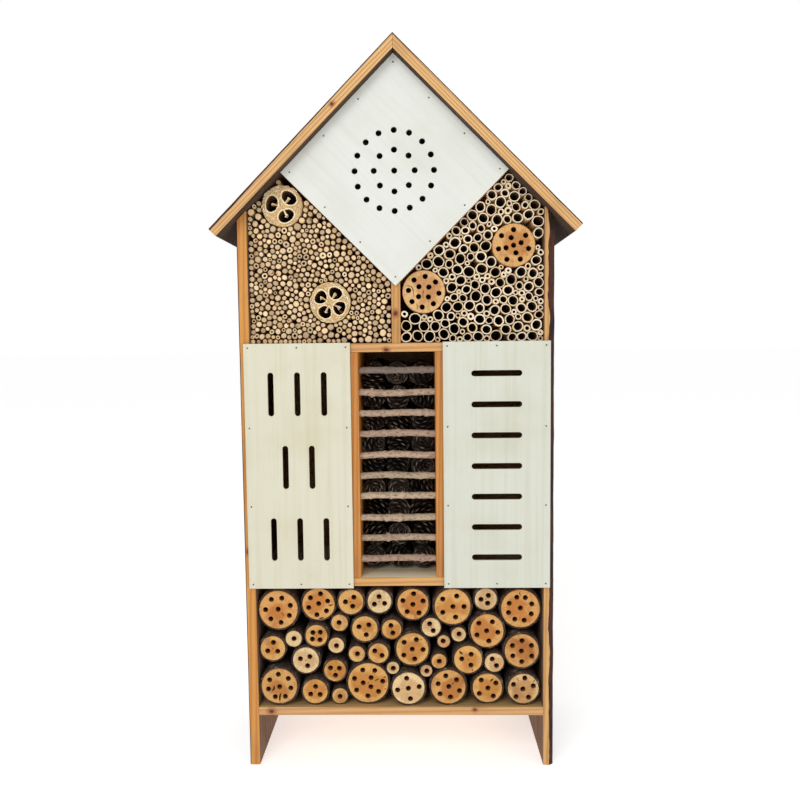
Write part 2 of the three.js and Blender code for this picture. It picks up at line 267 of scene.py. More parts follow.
def end_grain(name):
    """The sawn end of a round. The mesh carries tint, its colour, and girth, its radius."""
    s = Shader(name, 0.72)
    tint = s.value("tint", "Color")
    seed = s.value("seed", "Vector")
    here = s.place()
    shifted = s.vector("ADD", here, seed)
    flat = s.vector("MULTIPLY", here, (1, 0, 1))
    share = s.math("DIVIDE", s.vector("LENGTH", flat, output="Value"), s.value("girth"))
    # a darker heart inside paler sapwood, with smudges and growth rings
    growth = s.rings(here, 2.1 * MM, distortion=1.8, axis="Y", detail_scale=0.35)
    patch = s.noise(shifted, 55, detail=4, roughness=0.6)
    broad = s.noise(shifted, 26, detail=2)
    reach = s.math("ADD", share, s.math("MULTIPLY", s.math("SUBTRACT", broad, 0.5), 2.2))
    pale = s.mix(0.3, tint, rgb(236, 200, 136))
    heart = s.mix(0.55, tint, s.mix(1.0, tint, rgb(206, 166, 120), "MULTIPLY"))
    colour = s.mix(s.fade(reach, 0.45, 0.8), heart, pale)
    smudge = s.math("MULTIPLY", s.fade(patch, 0.5, 0.72), 0.5)
    colour = s.mix(smudge, colour, s.mix(1.0, tint, rgb(176, 132, 96), "MULTIPLY"))
    colour = s.over(colour, s.mix(0.5, heart, rgb(150, 96, 50)), s.fade(growth, 0.4, 0.9), 0.35)
    # fine cracks that run out from the heart
    split = s.node("SeparateXYZ", {0: here}).outputs
    around = s.math("ARCTAN2", split["X"], split["Z"])
    polar = s.node("CombineXYZ", {0: s.math("MULTIPLY", around, 4.5), 1: share}).outputs[0]
    ray = s.noise(s.vector("ADD", polar, seed), 1.0, detail=3)
    check = s.math("MULTIPLY", s.fade(s.math("ABSOLUTE", s.math("SUBTRACT", ray, 0.5)), 0.02, 0.0),
                   s.fade(share, 0.15, 0.45))
    colour = s.over(colour, rgb(104, 58, 26), check, 0.45)
    # saw grit, the dark rim under the bark, and the pith
    grit = s.noise(shifted, 900, detail=3, roughness=0.7)
    colour = s.over(colour, rgb(140, 84, 40), s.fade(grit, 0.5, 0.75), 0.35)
    dark_rim = s.fade(share, 0.93, 1.0)
    colour = s.over(colour, rgb(112, 66, 34), dark_rim, 0.55)
    pith = s.fade(s.vector("LENGTH", flat, output="Value"), 1.4 * MM, 0.7 * MM)
    colour = s.over(colour, rgb(96, 52, 26), pith, 0.8)
    s.bump(grit, 0.25 * MM, 0.6)
    s.bump(growth, 0.15 * MM, 0.5)
    return s.done(colour)


def drilled(name, colour_a, colour_b):
    """The wall of a drilled bore: torn, darker fibres."""
    s = Shader(name, 0.9)
    tear = s.noise((700, 120, 700), detail=4)
    s.bump(tear, 0.4 * MM, 0.8)
    return s.done(s.mix(s.fade(tear, 0.35, 0.65), colour_a, colour_b))


def rough_bark(name, base, deep, pale):
    """Bark with cracks that run along the log and pale lichen."""
    s = Shader(name, 0.95)
    plate = s.cells((260, 70, 260), "DISTANCE_TO_EDGE")
    patch = s.noise((120, 60, 120), detail=6, roughness=0.7)
    colour = s.mix(s.fade(patch, 0.35, 0.65), base, deep)
    colour = s.mix(s.fade(plate, 0.12, 0.02), colour, deep)
    lichen = s.fade(s.noise(s.place(scale=(60, 60, 60), offset=(8, 3, 5)), detail=7), 0.6, 0.72)
    colour = s.over(colour, pale, lichen, 0.7)
    s.bump(s.math("ADD", plate, patch), 1.2 * MM, 0.9)
    return s.done(colour)


def tinted(name, darker, roughness, grain, amount, depth=0.2 * MM):
    """A surface whose colour is the mesh's tint, with streaks of a darker colour."""
    s = Shader(name, roughness)
    streak = s.noise(s.place(scale=grain), detail=4, roughness=0.6)
    blotch = s.noise((95, 95, 95), detail=3)
    colour = s.over(s.value("tint", "Color"), darker, s.fade(streak, 0.45, 0.75), amount)
    colour = s.over(colour, darker, s.fade(blotch, 0.5, 0.75), 0.4 * amount)
    s.bump(streak, depth, 0.7)
    return s.done(colour)


def nail_metal():
    s = Shader("nail_metal", 0.5)
    rust = s.noise((900, 900, 900), detail=4)
    s.surface.inputs["Metallic"].default_value = 0.6
    s.bump(rust, 0.1 * MM, 0.6)
    return s.done(s.mix(s.fade(rust, 0.4, 0.65), rgb(120, 116, 108), rgb(72, 50, 36)))


# --- Meshes ----------------------------------------------------------------------------------


class Piece:
    """Points and faces that become one mesh object, fixed to the house."""

    def __init__(self):
        self.points = []
        self.tints = []
        self.faces = []
        self.kinds = []

    def add(self, points, faces, kinds, tint):
        """kinds is every face's material index, and tint every point's colour, or a list with one each."""
        base = len(self.points)
        self.points.extend(tuple(p) for p in points)
        self.tints.extend(tint if isinstance(tint, list) else [tint] * len(points))
        self.faces.extend(tuple(base + i for i in face) for face in faces)
        self.kinds.extend(kinds if isinstance(kinds, list) else [kinds] * len(faces))

    def loft(self, rings, kinds=0, tint=(1, 1, 1, 1), caps=(True, True), cap_kinds=None, closed=False):
        """Skins rings of points. kinds is one index, one for each ring gap, or one for each side."""
        count = len(rings[0])
        faces = []
        face_kinds = []
        gaps = len(rings) if closed else len(rings) - 1
        for g in range(gaps):
            a, b = g * count, (g + 1) % len(rings) * count
            for i in range(count):
                j = (i + 1) % count
                faces.append((a + i, a + j, b + j, b + i))
                if isinstance(kinds, int):
                    face_kinds.append(kinds)
                else:
                    face_kinds.append(kinds[g] if len(kinds) == gaps else kinds[i])
        first, last = cap_kinds or (face_kinds[0], face_kinds[-1])
        if caps[0] and not closed:
            faces.append(tuple(range(count)))
            face_kinds.append(first)
        if caps[1] and not closed:
            faces.append(tuple(range((len(rings) - 1) * count, len(rings) * count)))
            face_kinds.append(last)
        self.add([p for ring in rings for p in ring], faces, face_kinds, tint)

    def make(self, name, materials, slot, stands_for=(), place=None, sharp=35, **numbers):
        """numbers become mesh attributes with the same value at every point."""
        mesh = bpy.data.meshes.new(name)
        mesh.from_pydata(self.points, [], self.faces)
        for material in materials:
            mesh.materials.append(material)
        mesh.polygons.foreach_set("material_index", self.kinds)
        layer = mesh.attributes.new("tint", "FLOAT_COLOR", "POINT")
        layer.data.foreach_set("color", np.array(self.tints, dtype=float).ravel())
        for key, value in numbers.items():
            layer = mesh.attributes.new(key, "FLOAT", "POINT")
            layer.data.foreach_set("value", [value] * len(self.points))
        work = bmesh.new()
        work.from_mesh(mesh)
        bmesh.ops.recalc_face_normals(work, faces=work.faces)
        work.to_mesh(mesh)
        work.free()
        mesh.shade_smooth()
        mesh.set_sharp_from_angle(angle=math.radians(sharp))
        piece = bpy.data.objects.new(name, mesh)
        bpy.context.scene.collection.objects.link(piece)
        piece.matrix_world = place or Matrix.Identity(4)
        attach(piece, BODY)
        if stands_for:
            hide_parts(*stands_for)
        return piece


def circle(x, z, radius, sides, start=0.0):
    turns = start + TURN * np.arange(sides) / sides
    return np.stack([x + radius * np.cos(turns), z + radius * np.sin(turns)], axis=1)


def grown(loop, distance):
    """A loop that runs anticlockwise, moved outwards by distance."""
    edge = np.roll(loop, -1, axis=0) - loop
    normal = np.stack([edge[:, 1], -edge[:, 0]], axis=1)
    normal /= np.linalg.norm(normal, axis=1)[:, None]
    both = normal + np.roll(normal, 1, axis=0)
    return loop + distance * 2 * both / np.clip((both**2).sum(axis=1), 1.0, None)[:, None]


def inside(points, loop):
    """Which points lie in the loop."""
    x, z = points[:, :1], points[:, 1:]
    ax, az = loop[:, 0], loop[:, 1]
    bx, bz = np.roll(ax, -1), np.roll(az, -1)
    crosses = (az > z) != (bz > z)
    run = np.where(bz == az, 1.0, bz - az)
    return (crosses & (x < (bx - ax) * (z - az) / run + ax)).sum(axis=1) % 2 == 1


def flat_face(outline, holes):
    """Triangles that fill the outline but not the holes, and the points in loop order."""
    loops = [outline, *holes]
    points = np.concatenate(loops)
    edges = []
    base = 0
    for loop in loops:
        edges += [(base + i, base + (i + 1) % len(loop)) for i in range(len(loop))]
        base += len(loop)
    made = delaunay_2d_cdt([Vector(p) for p in points], edges, [], 0, 1e-9)
    corners = np.array([tuple(v) for v in made[0]])
    triangles = np.array([f[:3] for f in made[2]])
    middle = corners[triangles].mean(axis=1)
    keep = inside(middle, outline)
    for hole in holes:
        keep &= ~inside(middle, hole)
    return corners, triangles[keep]


def plate(piece, outline, holes, depth, bevel, hole_depth=None, kinds=(0, 1, 2), tint=(1, 1, 1, 1)):
    """A plate in X-Z from y = 0 back to y = depth. kinds are face, outer edge and hole wall.

    Holes go right through, or are blind at hole_depth.
    """
    face, edge, wall = kinds

    def at(loop, y):
        return [(p[0], y, p[1]) for p in loop]

    corners, triangles = flat_face(grown(outline, -bevel), [grown(h, bevel) for h in holes])
    piece.add(at(corners, 0), triangles.tolist(), face, tint)
    back_holes = [] if hole_depth else holes
    corners, triangles = flat_face(outline, back_holes)
    piece.add(at(corners, depth), triangles.tolist(), face, tint)
    rim = [at(grown(outline, -bevel), 0), at(outline, bevel), at(outline, depth)]
    piece.loft(rim, [face, edge], tint, caps=(False, False))
    for hole in holes:
        rings = [at(grown(hole, bevel), 0), at(hole, bevel), at(hole, hole_depth or depth)]
        piece.loft(rings, [face, wall], tint, caps=(False, bool(hole_depth)), cap_kinds=(wall, wall))
    return piece


def weld(piece_object):
    """Joins the seams that the separate faces of a plate leave."""
    distance = 0.002 * MM
    work = bmesh.new()
    work.from_mesh(piece_object.data)
    bmesh.ops.remove_doubles(work, verts=work.verts, dist=distance)
    bmesh.ops.recalc_face_normals(work, faces=work.faces)
    work.to_mesh(piece_object.data)
    work.free()
    piece_object.data.set_sharp_from_angle(angle=math.radians(35))


def tube(piece, path, radii, sides, tint, rough=0.0, seed=0.0):
    """A round strand along a path, with a radius for each point."""
    path = [Vector(p) for p in path]
    rings = []
    for i, here in enumerate(path):
        ahead = (path[min(i + 1, len(path) - 1)] - path[max(i - 1, 0)]).normalized()
        side = ahead.cross(Vector((0.31, 0.2, 0.93))).normalized()
        up = side.cross(ahead)
        ring = []
        for k in range(sides):
            turn = TURN * k / sides
            outward = side * math.cos(turn) + up * math.sin(turn)
            swell = 1 + rough * noise.noise((here + outward * radii[i]) * 180 + Vector((seed, 0, 0)))
            ring.append(here + outward * radii[i] * swell)
        rings.append(ring)
    piece.loft(rings, 0, tint)


def nails(name, spots, facing=(0, -1, 0)):
    """Domed nail heads at world positions, all facing one way."""
    piece = Piece()
    out = Vector(facing)
    side = out.orthogonal().normalized()
    up = out.cross(side)
    profile = [(0.3, 0.55), (0.75, 0.45), (1.0, 0.15), (1.0, -0.4)]
    for spot in spots:
        rings = []
        for reach, rise in profile:
            centre = Vector(spot) + out * rise * MM
            rings.append([centre + (side * math.cos(TURN * k / 14) + up * math.sin(TURN * k / 14))
                          * reach * NAIL_RADIUS for k in range(14)])
        piece.loft(rings)
    piece.make(name, [STEEL], "nail_steel")


# --- Boards ----------------------------------------------------------------------------------

FACE, WANE, OUTSIDE, INSIDE, END = range(5)


def timber(name, node, origin, along, inward, length, thickness, materials, seed, depth=None,
           slopes=(0, 0), wane=(0, 0), wane_depth=0.8, slot="pine_board"):
    """A sawn board whose front edge starts at origin.

    slopes shift the two ends along the board for each unit from the outer to the inner face. wane is
    how much of the front's outer arris is left waney at either end.
    """
    depth = depth or REAR - origin[1]
    x_axis, y_axis = Vector(along).normalized(), Vector((0, 1, 0))
    z_axis = x_axis.cross(y_axis)
    flip = 1 if z_axis.dot(Vector(inward)) > 0 else -1
    soft = SOFT_EDGE
    count = max(6, int(length / (7 * MM)))
    shares = [0, soft * 0.6 / length, *[i / count for i in range(1, count)], 1 - soft * 0.6 / length, 1]
    kinds = [WANE, WANE, WANE, FACE, FACE, FACE, INSIDE, FACE, FACE, FACE, OUTSIDE, OUTSIDE, OUTSIDE]
    rings = []
    for place_index, share in enumerate(shares):
        size = wane[0] + (wane[1] - wane[0]) * share
        wobble = noise.fractal(Vector((share * length * 22, seed, 0)), 0.8, 2.0, 3)
        ripple = noise.noise(Vector((share * length * 160, seed + 5, 0)))
        reach = max(soft, size * (1 + 0.28 * wobble + 0.1 * ripple))
        fall = max(soft, wane_depth * size * (1 + 0.5 * wobble))
        profile = [
            (fall, 0), (fall * 0.5, reach * (0.35 + 0.08 * ripple)), (fall * 0.14, reach * 0.78), (0, reach),
            (0, thickness - soft), (soft * 0.3, thickness - soft * 0.3), (soft, thickness),
            (depth - soft, thickness), (depth - soft * 0.3, thickness - soft * 0.3),
            (depth, thickness - soft), (depth, soft), (depth - soft * 0.3, soft * 0.3), (depth - soft, 0),
        ]
        inset = soft * 0.6 if place_index in (0, len(shares) - 1) else 0
        ring = []
        for y, across in profile:
            y += inset * (1 - 2 * y / depth)
            across += inset * (1 - 2 * across / thickness)
            start, end = slopes[0] * across, length + slopes[1] * across
            ring.append((start + (end - start) * share, y, flip * across))
        rings.append(ring)
    piece = Piece()
    piece.loft(rings, kinds, cap_kinds=(END, END))
    place = Matrix((x_axis, y_axis, z_axis)).transposed().to_4x4()
    place.translation = Vector(origin)
    return piece.make(name, materials, slot, (node,), place, sharp=25)


def pine_set(name, light, dark, pith, knots=()):
    """The five materials of a board: face, wane, outside, inside and end."""
    face = board_wood(name, light, dark, pith, knots)
    return [face, WANE_BARK, STAINED, FADED, face]


def side_boards():
    reach = SOFFIT_PEAK - HALF_WIDTH - 0.6 * MM
    left = pine_set("pine_left_side", rgb(214, 150, 70), rgb(174, 106, 38), (60 * MM, 20 * MM),
                    [(0.31, 0.0, -0.006, 3 * MM)])
    timber("left_side_board_timber", "left_side_board", (-HALF_WIDTH, FRONT, 0), (0, 0, 1), (1, 0, 0),
           reach, BOARD, left, 3, slopes=(0, 1), wane=(1.2 * MM, 1.4 * MM))
    right = pine_set("pine_right_side", rgb(214, 168, 104), rgb(172, 114, 56), (50 * MM, 40 * MM))
    timber("right_side_board_timber", "right_side_board", (HALF_WIDTH, FRONT, 0), (0, 0, 1), (-1, 0, 0),
           reach, BOARD, right, 8, slopes=(0, 1), wane=(5.8 * MM, 9.0 * MM), wane_depth=0.7)


def roof_boards():
    length = ROOF_HALF_WIDTH * math.sqrt(2)
    front = node_range("left_roof_board")[0].y
    knots = {-1: [(0.12, 0.0, 0.007, 2.2 * MM)], 1: []}
    wanes = {-1: (1.4 * MM, 3.6 * MM), 1: (1.6 * MM, 2.0 * MM)}
    for word, side in (("left", -1), ("right", 1)):
        woods = pine_set(f"pine_{word}_roof", rgb(226, 182, 120), rgb(160, 100, 48), (40 * MM, 55 * MM),
                         knots[side])
        # the roof's underside gets darker colours than its stained top: painted shade under the roof
        woods[INSIDE] = SOFFIT_PAINTED_SHADE
        timber(f"{word}_roof_board_timber", f"{word}_roof_board", (0, front, HEIGHT), (side, 0, -1),
               (-side, 0, -1), length, BOARD, woods, 11 + side, slopes=(1, 0), wane=wanes[side],
               slot="roof_wood")


def shelf_board(node, seed, light, dark, top_light, top_dark, knots=()):
    low, high = node_range(node)
    pith = (55 * MM, -35 * MM)
    face = board_wood("pine_" + node, light, dark, pith, knots)
    # Each shelf's top face has colours of its own; on the lower shelf they are near white, a painted
    # highlight where light falls on the top.
    top = board_wood("pine_top_" + node, top_light, top_dark, pith)
    timber(f"{node}_timber", node, (low.x, low.y, high.z), (1, 0, 0), (0, 0, -1), high.x - low.x,
           high.z - low.z, [face, face, top, face, face], seed, depth=high.y - low.y)


def upright(node, light, dark, knots=()):
    """A divider or the gable post; its outer face is the one towards the nearer side board."""
    low, high = node_range(node)
    face = board_wood("pine_" + node, light, dark, (45 * MM, 25 * MM), knots)
    timber(f"{node}_timber", node, (low.x, low.y, low.z), (0, 0, 1), (1, 0, 0), high.z - low.z,
           high.x - low.x, [face] * 5, low.x * 90, depth=high.y - low.y)


def carcass():
    side_boards()
    roof_boards()
    shelf_board("bottom_shelf", 21, rgb(214, 166, 110), rgb(176, 122, 70), rgb(206, 170, 114),
                rgb(164, 122, 72),
                [(0.018, 0.0, -0.006, 3.2 * MM), (0.306, 0.0, -0.004, 2.2 * MM)])
    # the lower shelf's near-white top colours are a painted highlight on its top face
    shelf_board("lower_shelf", 34, rgb(218, 168, 102), rgb(176, 118, 60), rgb(255, 246, 216),
                rgb(232, 212, 170))
    shelf_board("upper_shelf", 55, rgb(214, 164, 104), rgb(172, 114, 58), rgb(214, 164, 104),
                rgb(172, 114, 58), [(0.1875, 0.0, -0.009, 2.6 * MM)])
    upright("left_divider", rgb(206, 138, 62), rgb(160, 94, 34))
    upright("right_divider", rgb(208, 140, 66), rgb(162, 98, 38))
    upright("gable_post", rgb(208, 156, 90), rgb(164, 110, 56), knots=[(0.040, 0.0, -0.005, 3 * MM)])
    hidden = board_wood("pine_rails", rgb(206, 156, 98), rgb(160, 110, 60), (30 * MM, 30 * MM))
    for node in ("left_gable_rail", "right_gable_rail", "back_panel"):
        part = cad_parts[node]
        part.data.materials.clear()
        part.data.materials.append(BACK_PLY if node == "back_panel" else hidden)
        welded = part.modifiers.new("weld", "WELD")
        welded.merge_threshold = 0.01 * MM
        eased = part.modifiers.new("eased edges", "BEVEL")
        eased.width = 0.7 * MM
        eased.segments = 2
        eased.limit_method = "ANGLE"


# --- Plywood panels --------------------------------------------------------------------------


def slot_loop(x, z, length, width, upright_slot):
    """A slot with round ends, as a loop that runs anticlockwise."""
    half = (length - width) / 2
    steps = 9
    points = []
    for end in (1, -1):
        for i in range(steps + 1):
            turn = (0 if end > 0 else math.pi) - math.pi / 2 + math.pi * i / steps
            points.append((end * half + width / 2 * math.cos(turn), width / 2 * math.sin(turn)))
    if upright_slot:
        points = [(-b, a) for a, b in points]
    return np.array([(x + a, z + b) for a, b in points])


def framed(low, high):
    """A panel's rectangle about its own middle."""
    x, z = (high.x - low.x) / 2, (high.z - low.z) / 2
    return np.array([(-x, -z), (x, -z), (x, z), (-x, z)])


def edge_nails(low, high, inset):
    """Nail positions round a rectangle: three along the top and bottom, two more up each side."""
    middle = (low.x + high.x) / 2
    columns = (low.x + inset, middle, high.x - inset)
    spots = [(x, low.y, z) for z in (low.z + inset, high.z - inset) for x in columns]
    heights = [low.z + (high.z - low.z) * share for share in (0.34, 0.66)]
    return spots + [(x, low.y, z) for x in columns[::2] for z in heights]


def slot_panels():
    slot_width, tall, wide = 8 * MM, 60 * MM, 69 * MM
    column_pitch, row_pitch, slot_pitch = 36.5 * MM, 101 * MM, 42.4 * MM
    rows = [(1, (-1, 0, 1)), (0, (-0.5, 0.5)), (-1, (-1, 0, 1))]
    left = [slot_loop(column * column_pitch, row * row_pitch, tall, slot_width, True)
            for row, columns in rows for column in columns]
    right = [slot_loop(0, i * slot_pitch, wide, slot_width, False) for i in range(-3, 4)]
    for node, holes, ply in (("left_slot_panel", left, LEFT_PLY), ("right_slot_panel", right, RIGHT_PLY)):
        low, high = node_range(node)
        middle = (low + high) / 2
        board = plate(Piece(), framed(low, high), holes, high.y - low.y, 0.35 * MM)
        place = Matrix.Translation((middle.x, low.y, middle.z))
        weld(board.make(f"{node}_ply", [ply, PLY_EDGE, PLY_EDGE], "slot_panel_ply", (node,), place))
        nails(f"{node}_nails", edge_nails(low, high, 6 * MM))


def gable_panel():
    low, high = node_range("gable_panel")
    half = (high.z - low.z) / 2
    middle = Vector((0, low.y, (high.z + low.z) / 2))
    side = half * math.sqrt(2) / 2
    square = np.array([(-side, -side), (side, -side), (side, side), (-side, side)])
    holes = []
    hole_radius = 4 * MM
    for count, radius in ((1, 0.0), (8, 27.3 * MM), (16, 53 * MM)):
        for k in range(count):
            turn = TURN * k / count + TURN / 8
            holes.append(circle(radius * math.cos(turn), radius * math.sin(turn), hole_radius, 26))
    board = plate(Piece(), square, holes, high.y - low.y, 0.35 * MM)
    place = Matrix.Translation(middle) @ Matrix.Rotation(TURN / 8, 4, "Y")
    weld(board.make("gable_panel_ply", [GABLE_PLY, PLY_EDGE, PLY_EDGE], "gable_panel_ply",
                    ("gable_panel",), place))
    reach = half - 8.5 * MM * math.sqrt(2)  # each nail is 8.5 mm in from the edge
    corners = [middle + Vector((a * reach, 0, b * reach)) for a, b in ((1, 0), (0, 1), (-1, 0), (0, -1))]
    spots = []
    for start, end in zip(corners, corners[1:] + corners[:1]):
        spots += [start.lerp(end, step / 3) for step in range(3)]
    nails("gable_panel_nails", spots)


def hidden_nails():
    """Nails that hold the carcass: in the side boards, the roof and the back."""
    shelf_middles = [SHELF_TOP[name] - 6 * MM for name in SHELF_TOP]
    depths = (FRONT + 25 * MM, (FRONT + REAR) / 2, REAR - 25 * MM)
    for word, side in (("left", -1), ("right", 1)):
        nails(f"{word}_side_nails", [(side * HALF_WIDTH, y, z) for z in shelf_middles for y in depths],
              (side, 0, 0))
        roof = []
        for x in (9 * MM, HALF_WIDTH - BOARD / 2):
            roof += [(side * x, y, HEIGHT - x) for y in depths]
        nails(f"{word}_roof_nails", roof, Vector((side, 0, 1)).normalized())
    back = [(x, REAR, z) for z in shelf_middles for x in (-0.16, -0.06, 0.06, 0.16)]
    back += [(side * 0.09, REAR, z) for side in (-1, 1) for z in (0.68, 0.8)]
    nails("back_nails", back, (0, 1, 0))


# --- Packed rounds ---------------------------------------------------------------------------


def relax(points, radii, walls, fixed, rounds):
    """Moves circles apart, off the fixed circles, and to the inner side of the walls.

    A wall is (unit normal, offset): a point is inside where normal . point + offset > its radius.
    """
    push = 0.4  # share of an overlap that one round takes up
    reach = radii[:, None] + radii[None, :]
    for _ in range(rounds):
        apart = points[:, None] - points[None, :]
        distance = np.linalg.norm(apart, axis=2) + 1e-9
        overlap = np.clip(reach - distance, 0, None)
        np.fill_diagonal(overlap, 0)
        points = points + push * (apart * (overlap / distance)[..., None]).sum(axis=1)
        for x, z, radius in fixed:
            away = points - (x, z)
            distance = np.linalg.norm(away, axis=1) + 1e-9
            short = np.clip(radius + radii - distance, 0, None)
            points = points + away * (short / distance)[:, None]
        for normal, offset in walls:
            short = np.clip(radii - points @ normal - offset, 0, None)
            points = points + short[:, None] * normal
    return points


def gable_walls(side):
    """The five walls round the stems of one gable compartment."""
    slant = math.sqrt(0.5)
    post = node_range("gable_post")[1].x
    flat = [((0, 1), -SHELF_TOP["upper_shelf"]), ((side, 0), -post), ((-side, 0), INNER)]
    sloped = [((side * slant, -slant), RAIL_FOOT * slant), ((-side * slant, -slant), SOFFIT_PEAK * slant)]
    return [(np.array(normal, dtype=float), offset) for normal, offset in flat + sloped]


def fill_with_rounds(side, radii, fixed, seed, rounds=420):
    """Scatters circles in a gable compartment and lets them settle."""
    rng = np.random.default_rng(seed)
    walls = gable_walls(side)
    points = []
    while len(points) < len(radii):
        point = np.array([side * rng.uniform(0, INNER), rng.uniform(SHELF_TOP["upper_shelf"], HEIGHT)])
        free = all(point @ normal + offset > 0 for normal, offset in walls)
        if free and all(math.dist(point, (x, z)) > r for x, z, r in fixed):
            points.append(point)
    return relax(np.array(points), radii, walls, fixed, rounds)


def sizes_to_fill(rng, fixed, share, groups):
    """Radii drawn from the groups (chance, mean, spread, smallest) until they cover the share."""
    post = node_range("gable_post")[1].x
    meet = (SOFFIT_PEAK - RAIL_FOOT) / 2
    corners = [(post, SHELF_TOP["upper_shelf"]), (INNER, SHELF_TOP["upper_shelf"]),
               (INNER, SOFFIT_PEAK - INNER), (meet, SOFFIT_PEAK - meet), (post, RAIL_FOOT + post)]
    twice = sum(a[0] * b[1] - b[0] * a[1] for a, b in zip(corners, corners[1:] + corners[:1]))
    wanted = share * (twice / 2 - sum(math.pi * r**2 for _, _, r in fixed))
    radii, kinds = [], []
    while wanted > 0:
        kind = rng.choice(len(groups), p=[group[0] for group in groups])
        _, mean, spread, smallest = groups[kind]
        radii.append(max(rng.normal(mean, spread), smallest) * MM)
        kinds.append(kind)
        wanted -= math.pi * radii[-1] ** 2
    return np.array(radii), kinds


def stem(piece, at, radius, front, sides, rng, bore, bore_depth, tints):
    """One reed or cane: its end is slightly tilted and out of round; bore is its hollow's radius."""
    phase, tilt = rng.uniform(0, TURN), rng.uniform(-0.1, 0.1, 2)
    turns = TURN * np.arange(sides) / sides
    shape = 1 + 0.05 * np.cos(2 * turns + phase) + rng.normal(0, 0.02, sides)
    end_tint, skin_tint = tints

    def ring(size, y, flat=1.0):
        x, z = size * shape * np.cos(turns), size * shape * np.sin(turns)
        return [(at[0] + a, y + flat * (tilt[0] * a + tilt[1] * b), at[1] + b) for a, b in zip(x, z)]

    ease = 0.22 * MM if bore else min(0.8 * MM, radius * 0.17)
    skin = [ring(radius - ease, front), ring(radius, front + ease), ring(radius, FILL_BACK, 0.0)]
    if bore:
        tunnel = [ring(bore, front + bore_depth), ring(bore, front + ease), ring(bore + ease, front), skin[0]]
        piece.loft(tunnel, [2, 2, 0], end_tint, caps=(True, False), cap_kinds=(2, 2))
    else:
        dome = ring(radius * 0.5, front - 0.25 * ease)
        piece.loft([dome, skin[0]], 0, end_tint, caps=(True, False))
    piece.loft(skin, [0, 1], skin_tint, caps=(False, True))


LOOFAH_ROUNDS = ("loofah_slice_upper", "loofah_slice_lower")
DISC_ROUNDS = ("drilled_disc_upper", "drilled_disc_lower")


def round_of(node):
    """(x, z, radius) of a round CAD node."""
    low, high = node_range(node)
    return (low.x + high.x) / 2, (low.z + high.z) / 2, (high.x - low.x) / 2


def reed_stems():
    rng = np.random.default_rng(5)
    fixed = [round_of(node) for node in LOOFAH_ROUNDS]
    radii, _ = sizes_to_fill(rng, fixed, 0.86, [(0.75, 3.7, 0.45, 2.6), (0.25, 4.7, 0.5, 3.5)])
    points = fill_with_rounds(-1, radii, fixed, 17)
    pale, straw, pink = rgb(240, 216, 170), rgb(222, 188, 132), rgb(236, 200, 172)
    rust = rgb(140, 78, 36)
    front = node_range("reed_bundle")[0].y
    piece = Piece()
    for at, radius in zip(points, radii):
        end = blend(blend(pale, straw, rng.uniform(0, 1)), pink, rng.uniform(0, 0.5))
        end = shaded(end, rng.uniform(0.6, 1.16))
        # The skin's straw-to-rust hue is the reeds' own; darkening it to 0.45 is painted shade, on each end's
        # eased rim and in the gaps between the reeds.
        skin = shaded(blend(straw, rust, rng.choice([0.25, 0.5, 0.9], p=[0.4, 0.35, 0.25])), 0.45)
        bore = radius * rng.uniform(0.22, 0.4) if rng.random() < 0.16 else 0.0
        y = front + rng.uniform(-2.2, 3.0) * MM
        stem(piece, at, radius * rng.uniform(0.82, 0.93), y, 14, rng, bore, 40 * MM, (end, skin))
    piece.make("reed_stems", [STEM_END, STEM_SKIN, STEM_BORE], "reed", ("reed_bundle",), sharp=50)


def sheath_bits():
    """Loose curls of dry leaf sheath wedged between the reeds."""
    rng = random.Random(23)
    front = node_range("reed_bundle")[0].y
    piece = Piece()
    brown = [rgb(150, 88, 40), rgb(120, 66, 32), rgb(176, 120, 62)]
    for _ in range(70):
        x, z = -rng.uniform(0.012, 0.195), rng.uniform(0.605, 0.79)
        if z > RAIL_FOOT - x - 8 * MM or z > SOFFIT_PEAK + x - 8 * MM:
            continue
        turn, size = rng.uniform(0, TURN), rng.uniform(1.6, 3.6) * MM
        path = [(x + size * math.cos(turn + a), front + rng.uniform(-1.2, 1.5) * MM,
                 z + size * math.sin(turn + a)) for a in (0, 0.5, 1.0, 1.5)]
        tube(piece, path, [0.35 * MM, 0.7 * MM, 0.6 * MM, 0.25 * MM], 6, rng.choice(brown))
    piece.make("reed_sheaths", [STEM_SKIN], "reed", sharp=60)


def bamboo_tubes():
    rng = np.random.default_rng(12)
    walls = {0: 2.0 * MM, 1: 1.9 * MM}  # wall thickness of the two wider kinds
    fixed = [round_of(node) for node in DISC_ROUNDS]
    groups = [(0.42, 7.7, 0.35, 7.0), (0.23, 6.2, 0.35, 5.4), (0.35, 4.2, 0.5, 3.3)]
    radii, kinds = sizes_to_fill(rng, fixed, 0.79, groups)
    points = fill_with_rounds(1, radii, fixed, 31, 900)
    cream, straw, tan = rgb(252, 240, 214), rgb(236, 212, 166), rgb(196, 150, 96)
    front = node_range("bamboo_bundle")[0].y
    piece = Piece()
    for kind, at, radius in zip(kinds, points, radii):
        end = shaded(blend(cream, straw, rng.uniform(0, 0.8)), rng.uniform(0.85, 1.05))
        skin = blend(straw, tan, rng.uniform(0, 1))
        wall = walls.get(kind, radius * rng.uniform(0.42, 0.68)) * rng.uniform(0.85, 1.2)
        y = front + rng.uniform(-3.0, 3.5) * MM
        depth = rng.uniform(45, 95) * MM
        stem(piece, at, radius * 0.97, y, 22, rng, radius - wall, depth, (end, skin))
    piece.make("bamboo_tubes", [STEM_END, STEM_SKIN, CANE_BORE], "bamboo", ("bamboo_bundle",), sharp=50)


# --- Loofah slices ---------------------------------------------------------------------------


